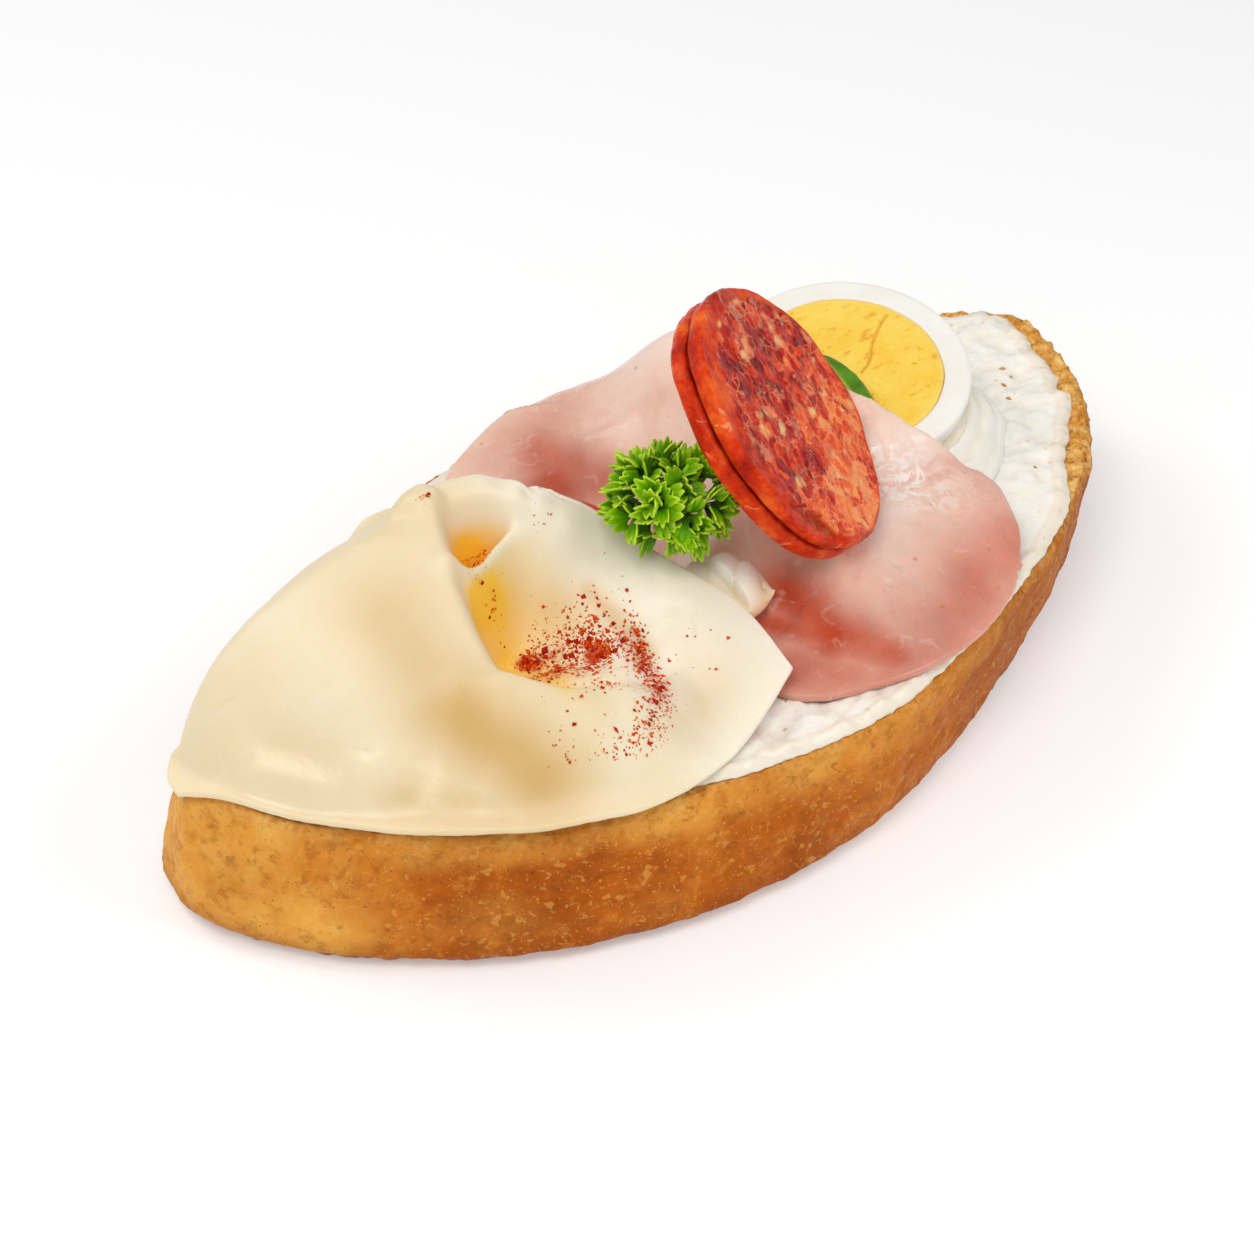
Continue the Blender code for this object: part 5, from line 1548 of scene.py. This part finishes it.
# --------------------------------------------------- mayonnaise, gherkin
def build_mayo_egg(mat):
    centre = (40.0, 6.5)
    around = 300
    angle = np.linspace(-math.pi, math.pi, around, endpoint=False)
    reach = 19.5 - 3.0 * np.cos(angle - 2.2) - 4.8 * np.exp(-(((angle + 0.95) / 0.8) ** 2))
    reach = reach + 0.4 * perlin(3 * np.cos(angle), 3 * np.sin(angle), 0, 71)
    rows = []
    for r in np.concatenate([np.linspace(0.05, 0.6, 8), np.linspace(0.63, 1.0, 64)]):
        x = centre[0] + reach * r * np.cos(angle)
        y = centre[1] + reach * r * np.sin(angle)
        under = egg_plane(x, y) - EGG_THICK - GAP - 0.2
        # piped bands that follow the egg's edge and step down beyond it
        d = np.hypot(x - EGG_FACE[0], y - EGG_FACE[1])
        band = (d - EGG_RADIUS + 1.0 + 0.5 * perlin(3.0 * np.cos(angle), 3.0 * np.sin(angle), r * 2, 72)) / 2.7
        ridge = 0.75 * np.sin(math.pi * band) ** 2 - 0.3
        side = SPREAD_TOP + 0.6 + 6.6 * (1 - r**2.6) + ridge * smooth((1 - r) / 0.08)
        cover = smooth((d - EGG_RADIUS + 2.2) / 1.2)
        top = np.where(cover > 0, mix(np.minimum(under, side), side, cover), np.minimum(under, side))
        top = np.minimum(top, np.where(d < EGG_RADIUS, under, 99.0))
        dx, dy = x - HAM_CENTRE[0], y - HAM_CENTRE[1]
        under_ham = np.hypot(dx, dy) < ham_reach(np.arctan2(dy, dx)) + 2.0
        top = np.where(under_ham, np.minimum(top, ham_height(x, y) - HAM_THICK * 1.3 - GAP - 0.3), top)
        top = np.maximum(top, SPREAD_TOP + 0.35)
        rows.append(np.stack([x, y, top], -1))
    grid = np.array(rows)
    z = grid[..., 2]
    # painted shade in the grooves between the piped bands
    painted_shade = np.clip((blurred(z, 10) - z) * 1.6, 0, 0.6)
    floor = SPREAD_TOP + SPREAD_LUMP + 0.1
    extra = []
    for r in (1.005, 0.97, 0.5, 0.1):
        x = centre[0] + reach * r * np.cos(angle)
        y = centre[1] + reach * r * np.sin(angle)
        extra.append(np.stack([x, y, np.full(around, floor)], -1))
    grid = np.concatenate([grid, np.array(extra)])
    painted_shade = np.concatenate([painted_shade, np.zeros((4, around))])
    obj = ringed("mayonnaise_by_egg", grid, [mat], {"painted_shade": painted_shade})
    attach(obj, "root")
    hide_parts("mayo_egg")


def build_mayo_centre(mat):
    around, rings = 120, 70
    s = np.cos(np.linspace(0.02, math.pi - 0.02, rings))[:, None]
    a = np.linspace(0, TAU, around, endpoint=False)[None]
    r = np.sqrt(1 - s * s)
    x, z = r * np.cos(a), r * np.sin(a)
    twist = 0.35 * np.cos(a) + 0.9 * s
    swell = 1.0 + 0.16 * (np.abs(np.cos(1.5 * (s + 0.12 * np.cos(a)) * math.pi)) ** 0.8 - 0.4)
    local = np.stack([x * 5.4 * swell, s * 5.7 + 0.9 * np.sin(a) + 0 * x, z * 3.4 * swell], -1)
    turn = np.array(Matrix.Rotation(math.radians(52.0), 3, "Z") @ Matrix.Rotation(math.radians(4.0), 3, "X"))
    p = local @ turn.T + np.array((-4.0, -11.4, 30.4))
    floor = ham_height(p[..., 0], p[..., 1]) + 0.2
    p[..., 2] = np.maximum(p[..., 2], floor)
    roof = cheese_height(p[..., 0], p[..., 1]) - CHEESE_THICK * 1.5 - 0.4
    p[..., 2] = np.where(p[..., 0] < -4.5, np.minimum(p[..., 2], roof), p[..., 2])
    # painted shade in the grooves and on the low side tucked under the cheese
    painted_shade = np.clip(np.clip(1.0 - swell, 0, 0.12) * 5 + 0.70 * smooth((34.0 - p[..., 2]) / 5.0), 0, 1)
    obj = ringed("mayonnaise_shell", p, [mat], {"painted_shade": painted_shade})
    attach(obj, "root")
    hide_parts("mayo_centre")


def build_gherkin(mat):
    around, rings = 72, 70
    t = np.linspace(0.03, math.pi - 0.03, rings)[:, None]
    a = np.linspace(0, TAU, around, endpoint=False)[None]
    x0, y0, x1, y1 = GHERKIN_LINE
    mid = ((x0 + x1) / 2, (y0 + y1) / 2)
    half = math.hypot(x1 - x0, y1 - y0) / 2
    heading = math.atan2(y1 - y0, x1 - x0)
    s = np.cos(t) * half + 0 * a
    side = np.sin(t) * np.sin(a) * 2.2
    up = -np.sin(t) * np.cos(a) * 1.3
    warts = 0.10 * perlin(s / 1.4, side / 1.2, up, 75)
    side = side + warts + 0.7 * (1.0 - (s / half) ** 2) - 1.1
    x = mid[0] + s * math.cos(heading) - side * math.sin(heading)
    y = mid[1] + s * math.sin(heading) + side * math.cos(heading)
    z = egg_plane(x, y) + GAP + 1.4 + up + warts * 0.5
    inside = smooth((-(side) - 0.6) / 1.0)
    obj = ringed("gherkin_strip", np.stack([x, y, z], -1), [mat], {"inside": inside})
    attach(obj, "root")
    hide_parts("gherkin")


# ---------------------------------------------------------------- parsley
def leaflet(rng, base, direction, side, length, width, curl, cup):
    """One curled leaflet with rounded fingers: returns its upper surface grid and its tip share."""
    rows, cols = 11, 17
    v = np.linspace(0, 1, rows)[:, None]
    u = np.linspace(-1, 1, cols)[None]
    fingers = 3
    finger = 0.5 + 0.5 * np.cos((u * fingers + (0.0 if fingers % 2 else 1.0)) * math.pi)
    dome = 1.0 - 0.24 * u * u
    notch = 0.70 + 0.30 * finger**0.45
    reach = v * mix(1.0, dome * notch, smooth((v - 0.25) / 0.6))
    spread = (0.16 + 0.84 * smooth(v / 0.85)) * width
    up = np.cross(side, direction)
    bend = u * cup * (0.3 + 0.7 * v)
    lateral = spread * np.sin(bend) / max(cup, 0.2)
    raised = spread * (1 - np.cos(bend)) / max(cup, 0.2)
    roll = curl * v**2.2 * length * 0.45
    groove = 0.13 * width * finger * v
    along_it = reach * length * (1 - 0.2 * v * v * abs(curl))
    p = base + along_it[..., None] * direction + lateral[..., None] * side + (raised - roll - groove)[..., None] * up
    rim = np.maximum(smooth((v - 0.86) / 0.12), smooth((np.abs(u) - 0.84) / 0.14) * v)
    tip = np.clip(0.72 * v**1.1 + 0.26 * rim + 0 * u, 0, 1)
    return p, tip


def build_parsley(mat):
    rng = np.random.default_rng(5)
    low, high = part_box("parsley")
    centre = np.array([(low.x + high.x) / 2, (low.y + high.y) / 2, (low.z + high.z) / 2]) * 1000
    half = np.array([high.x - low.x, high.y - low.y, high.z - low.z]) * 500
    centre = centre + np.array((-1.3, -0.2, -0.9))
    verts, faces, tips, stems, at = [], [], [], [], 0
    golden = math.pi * (3 - math.sqrt(5))
    bunches, stalks = 30, []
    plan = []
    for k in range(bunches):
        h = 0.97 - 1.75 * (k + 0.5) / bunches
        ring = math.sqrt(max(0.0, 1 - h * h))
        a = k * golden + rng.normal() * 0.2
        d = np.array([ring * math.cos(a), ring * math.sin(a), h]) + rng.normal(size=3) * 0.10
        d /= np.linalg.norm(d)
        root = centre + d * half * rng.uniform(0.50, 0.62)
        stalks.append((d, root))
        e1 = np.cross(d, rng.normal(size=3))
        e1 /= np.linalg.norm(e1)
        e2 = np.cross(d, e1)
        ring_of = rng.integers(3, 5)
        for j in range(ring_of + 1):
            if j == ring_of:
                lean, face = d + 0.15 * rng.normal(size=3), e1
            else:
                f = TAU * (j + 0.3 * rng.random()) / ring_of
                out = math.cos(f) * e1 + math.sin(f) * e2
                lean = d + rng.uniform(0.45, 1.0) * out
                face = np.cross(lean, d) + 0.5 * rng.normal(size=3)
            plan.append((d, root, lean / np.linalg.norm(lean), face))
    for d, root, lean, face in plan:
        side = np.cross(np.cross(lean, face), lean) + 0.35 * np.cross(lean, rng.normal(size=3))
        side /= np.linalg.norm(side)
        depth = rng.uniform(0.0, 0.25)
        h = d[2]
        length = rng.uniform(4.2, 6.4) * (1 - 0.5 * depth)
        base = root
        p, tip = leaflet(rng, base, lean, side, length, rng.uniform(1.4, 2.0), rng.uniform(0.0, 0.8), rng.uniform(0.6, 1.5))
        rows, cols = p.shape[:2]
        n = normals_of(p)
        if (n.mean((0, 1)) * d).sum() < 0:
            n = -n
        thick = 0.26
        v = np.concatenate([(p + n * thick / 2).reshape(-1, 3), (p - n * thick / 2).reshape(-1, 3)])
        m = rows * cols
        top = stitch(rows, cols, offset=at)
        under = stitch(rows, cols, offset=at + m)[:, ::-1]
        ring_index = np.concatenate([
            np.arange(cols - 1),
            np.arange(rows - 1) * cols + cols - 1,
            (rows - 1) * cols + np.arange(cols - 1, 0, -1),
            np.arange(rows - 1, 0, -1) * cols,
        ]) + at
        nxt = np.roll(ring_index, -1)
        rim = np.stack([ring_index, ring_index + m, nxt + m, nxt], -1)
        part = np.concatenate([top, under, rim])
        tri = np.concatenate([part[:, :3], part[:, [0, 2, 3]]]) - at
        if volume_of(v - v.mean(0), tri) < 0:
            part = part[:, ::-1]
        verts.append(v)
        faces.append(part)
        t = tip.reshape(-1)
        # painted shade: deeper and lower leaflets are darker, and their undersides darker still
        t = np.clip(t * (1.0 - 0.6 * depth) - 0.10 * max(0.0, -h), 0, 1)
        tips.append(np.concatenate([t, t * 0.85]))
        stems.append(np.zeros(2 * m))
        at += 2 * m
    # stalks from the middle out to the leaflets
    for d, end in stalks:
        start = centre + d * half * 0.08 - np.array((0, 0, 1.5))
        bow = np.cross(d, rng.normal(size=3)) * 0.8
        sides, steps = 7, 9
        frame_a = np.cross(d, np.array((0.3, 0.5, 0.8)))
        frame_a /= np.linalg.norm(frame_a)
        frame_b = np.cross(d, frame_a)
        ang = np.linspace(0, TAU, sides, endpoint=False)
        rings = []
        for i in range(steps):
            t = i / (steps - 1)
            c = mix(start, end, t) + bow * math.sin(math.pi * t)
            r = mix(0.42, 0.24, t)
            rings.append(c + r * (np.cos(ang)[:, None] * frame_a + np.sin(ang)[:, None] * frame_b))
        v = np.concatenate([np.array(rings).reshape(-1, 3), start[None], end[None]])
        q = stitch(steps, sides, True, at)
        kk = np.arange(sides)
        nn = (kk + 1) % sides
        base_i, end_i = at + steps * sides, at + steps * sides + 1
        capa = np.stack([np.full(sides, base_i), at + nn, at + kk, at + kk], -1)
        last = at + (steps - 1) * sides
        capb = np.stack([np.full(sides, end_i), last + kk, last + nn, last + nn], -1)
        tri_all = np.concatenate([q[:, :3], q[:, [0, 2, 3]], capa[:, :3], capb[:, :3]]) - at
        if volume_of(v - v.mean(0), tri_all) < 0:
            q = q[:, ::-1]
            capa, capb = capa[:, [0, 2, 1, 1]], capb[:, [0, 2, 1, 1]]
        verts.append(v)
        faces.append(q)
        faces.append(capa[:, :3])
        faces.append(capb[:, :3])
        tips.append(np.full(len(v), 0.35))
        stems.append(np.ones(len(v)))
        at += len(v)
    quads = np.concatenate([f for f in faces if f.shape[1] == 4])
    tris = np.concatenate([f for f in faces if f.shape[1] == 3])
    obj = make_object(
        "parsley_curly_sprig", np.concatenate(verts), [quads, tris], [mat],
        {"tip": np.concatenate(tips), "stem": np.concatenate(stems)},
    )
    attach(obj, "root")
    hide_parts("parsley")


# ------------------------------------------------------------------ stage
def aim(obj, place_at, target):
    obj.location = place_at
    obj.rotation_euler = (Vector(target) - Vector(place_at)).to_track_quat("-Z", "Y").to_euler()


def area_light(name, place_at, target, size, energy, colour=(1.0, 1.0, 1.0)):
    data = bpy.data.lights.new(name, "AREA")
    data.shape = "DISK"
    data.size = size
    data.energy = energy
    data.color = colour
    obj = bpy.data.objects.new(name, data)
    bpy.context.scene.collection.objects.link(obj)
    aim(obj, place_at, target)
    return obj


def build_stage():
    mesh = bpy.data.meshes.new("floor")
    size = 3.0
    mesh.from_pydata([(-size, -size, 0), (size, -size, 0), (size, size, 0), (-size, size, 0)], [], [(0, 1, 2, 3)])
    k = Look("floor_paper", roughness=0.7, specular=0.1)
    k.set("Base Color", k.ramp(k.noise(3, 2), (0.3, (0.78, 0.79, 0.795)), (0.7, (0.80, 0.81, 0.815))))
    k.set("Emission Color", (1.0, 1.0, 1.0, 1.0))
    k.set("Emission Strength", 0.29)
    mesh.materials.append(k.mat)
    floor = bpy.data.objects.new("floor", mesh)
    floor.location = (0, 0, -0.0002)
    bpy.context.scene.collection.objects.link(floor)

    world = bpy.data.worlds.new("studio")
    bpy.context.scene.world = world
    world.use_nodes = True
    sky = world.node_tree.nodes["Background"]
    sky.inputs[0].default_value = (1.0, 1.0, 1.0, 1.0)
    sky.inputs[1].default_value = 0.42
    area_light("key", (-0.24, -0.17, 0.48), (0.0, 0.0, 0.03), 0.24, 1.02, (1.0, 0.99, 0.97))
    area_light("back", (-0.20, 0.32, 0.42), (0.0, 0.0, 0.03), 0.26, 0.65, (1.0, 0.985, 0.96))
    area_light("front", (0.18, -0.32, 0.42), (0.0, 0.0, 0.03), 0.26, 0.69, (1.0, 0.99, 0.97))

    data = bpy.data.cameras.new("camera")
    data.lens = 90.0
    data.sensor_width = 36.0
    data.clip_start = 0.01
    camera = bpy.data.objects.new("camera", data)
    bpy.context.scene.collection.objects.link(camera)
    azimuth, elevation, distance = math.radians(-38.0), math.radians(40.0), 0.43
    back = Vector((
        math.sin(azimuth) * math.cos(elevation),
        -math.cos(azimuth) * math.cos(elevation),
        math.sin(elevation),
    ))
    target = Vector((-0.012, 0.0, 0.02))
    aim(camera, target + back * distance, target)
    bpy.context.scene.camera = camera
    bpy.context.scene.view_settings.view_transform = "Standard"


def main():
    looks = {
        "cheese": cheese_look(), "ham": ham_look(), "salami": salami_look(), "mayo": mayo_look(),
        "tomato": tomato_look(),
    }
    build_bread(crust_look())
    build_spread(spread_look())
    build_ham(looks["ham"])
    build_cheese(looks["cheese"])
    normal = Vector(SALAMI_NORMAL).normalized()
    build_salami("salami_front_slice", "salami_front", SALAMI_FACE, 0.5, 0.6, looks["salami"], True)
    behind = Vector(SALAMI_FACE) - normal * (SALAMI_THICK + 0.5) + Vector((0.3, 0.3, -0.5))
    build_salami("salami_back_slice", "salami_back", behind, 0.5, 0.9, looks["salami"], False)
    build_egg(white_look(), yolk_look())
    build_mayo_egg(looks["mayo"])
    build_mayo_centre(looks["mayo"])
    build_gherkin(gherkin_look())
    heading = math.atan2(AWAY[1], AWAY[0])
    x, y = from_lay(-20.0, -12.6)
    build_tomato("tomato_half_slice", "tomato_back", (x, y, 30.2), TOMATO_TILT, heading, TOMATO_RADIUS, TOMATO_THICK, looks["tomato"], 1)
    build_tomato("tomato_front_piece", "tomato_front", (-14.5, -23.9, 25.8), math.radians(-2.0), math.radians(-70.0), 5.3, 1.9, looks["tomato"], 2)
    build_parsley(parsley_look())
    build_paprika(paprika_look())
    build_crumbs(crumb_look())
    build_stage()


main()
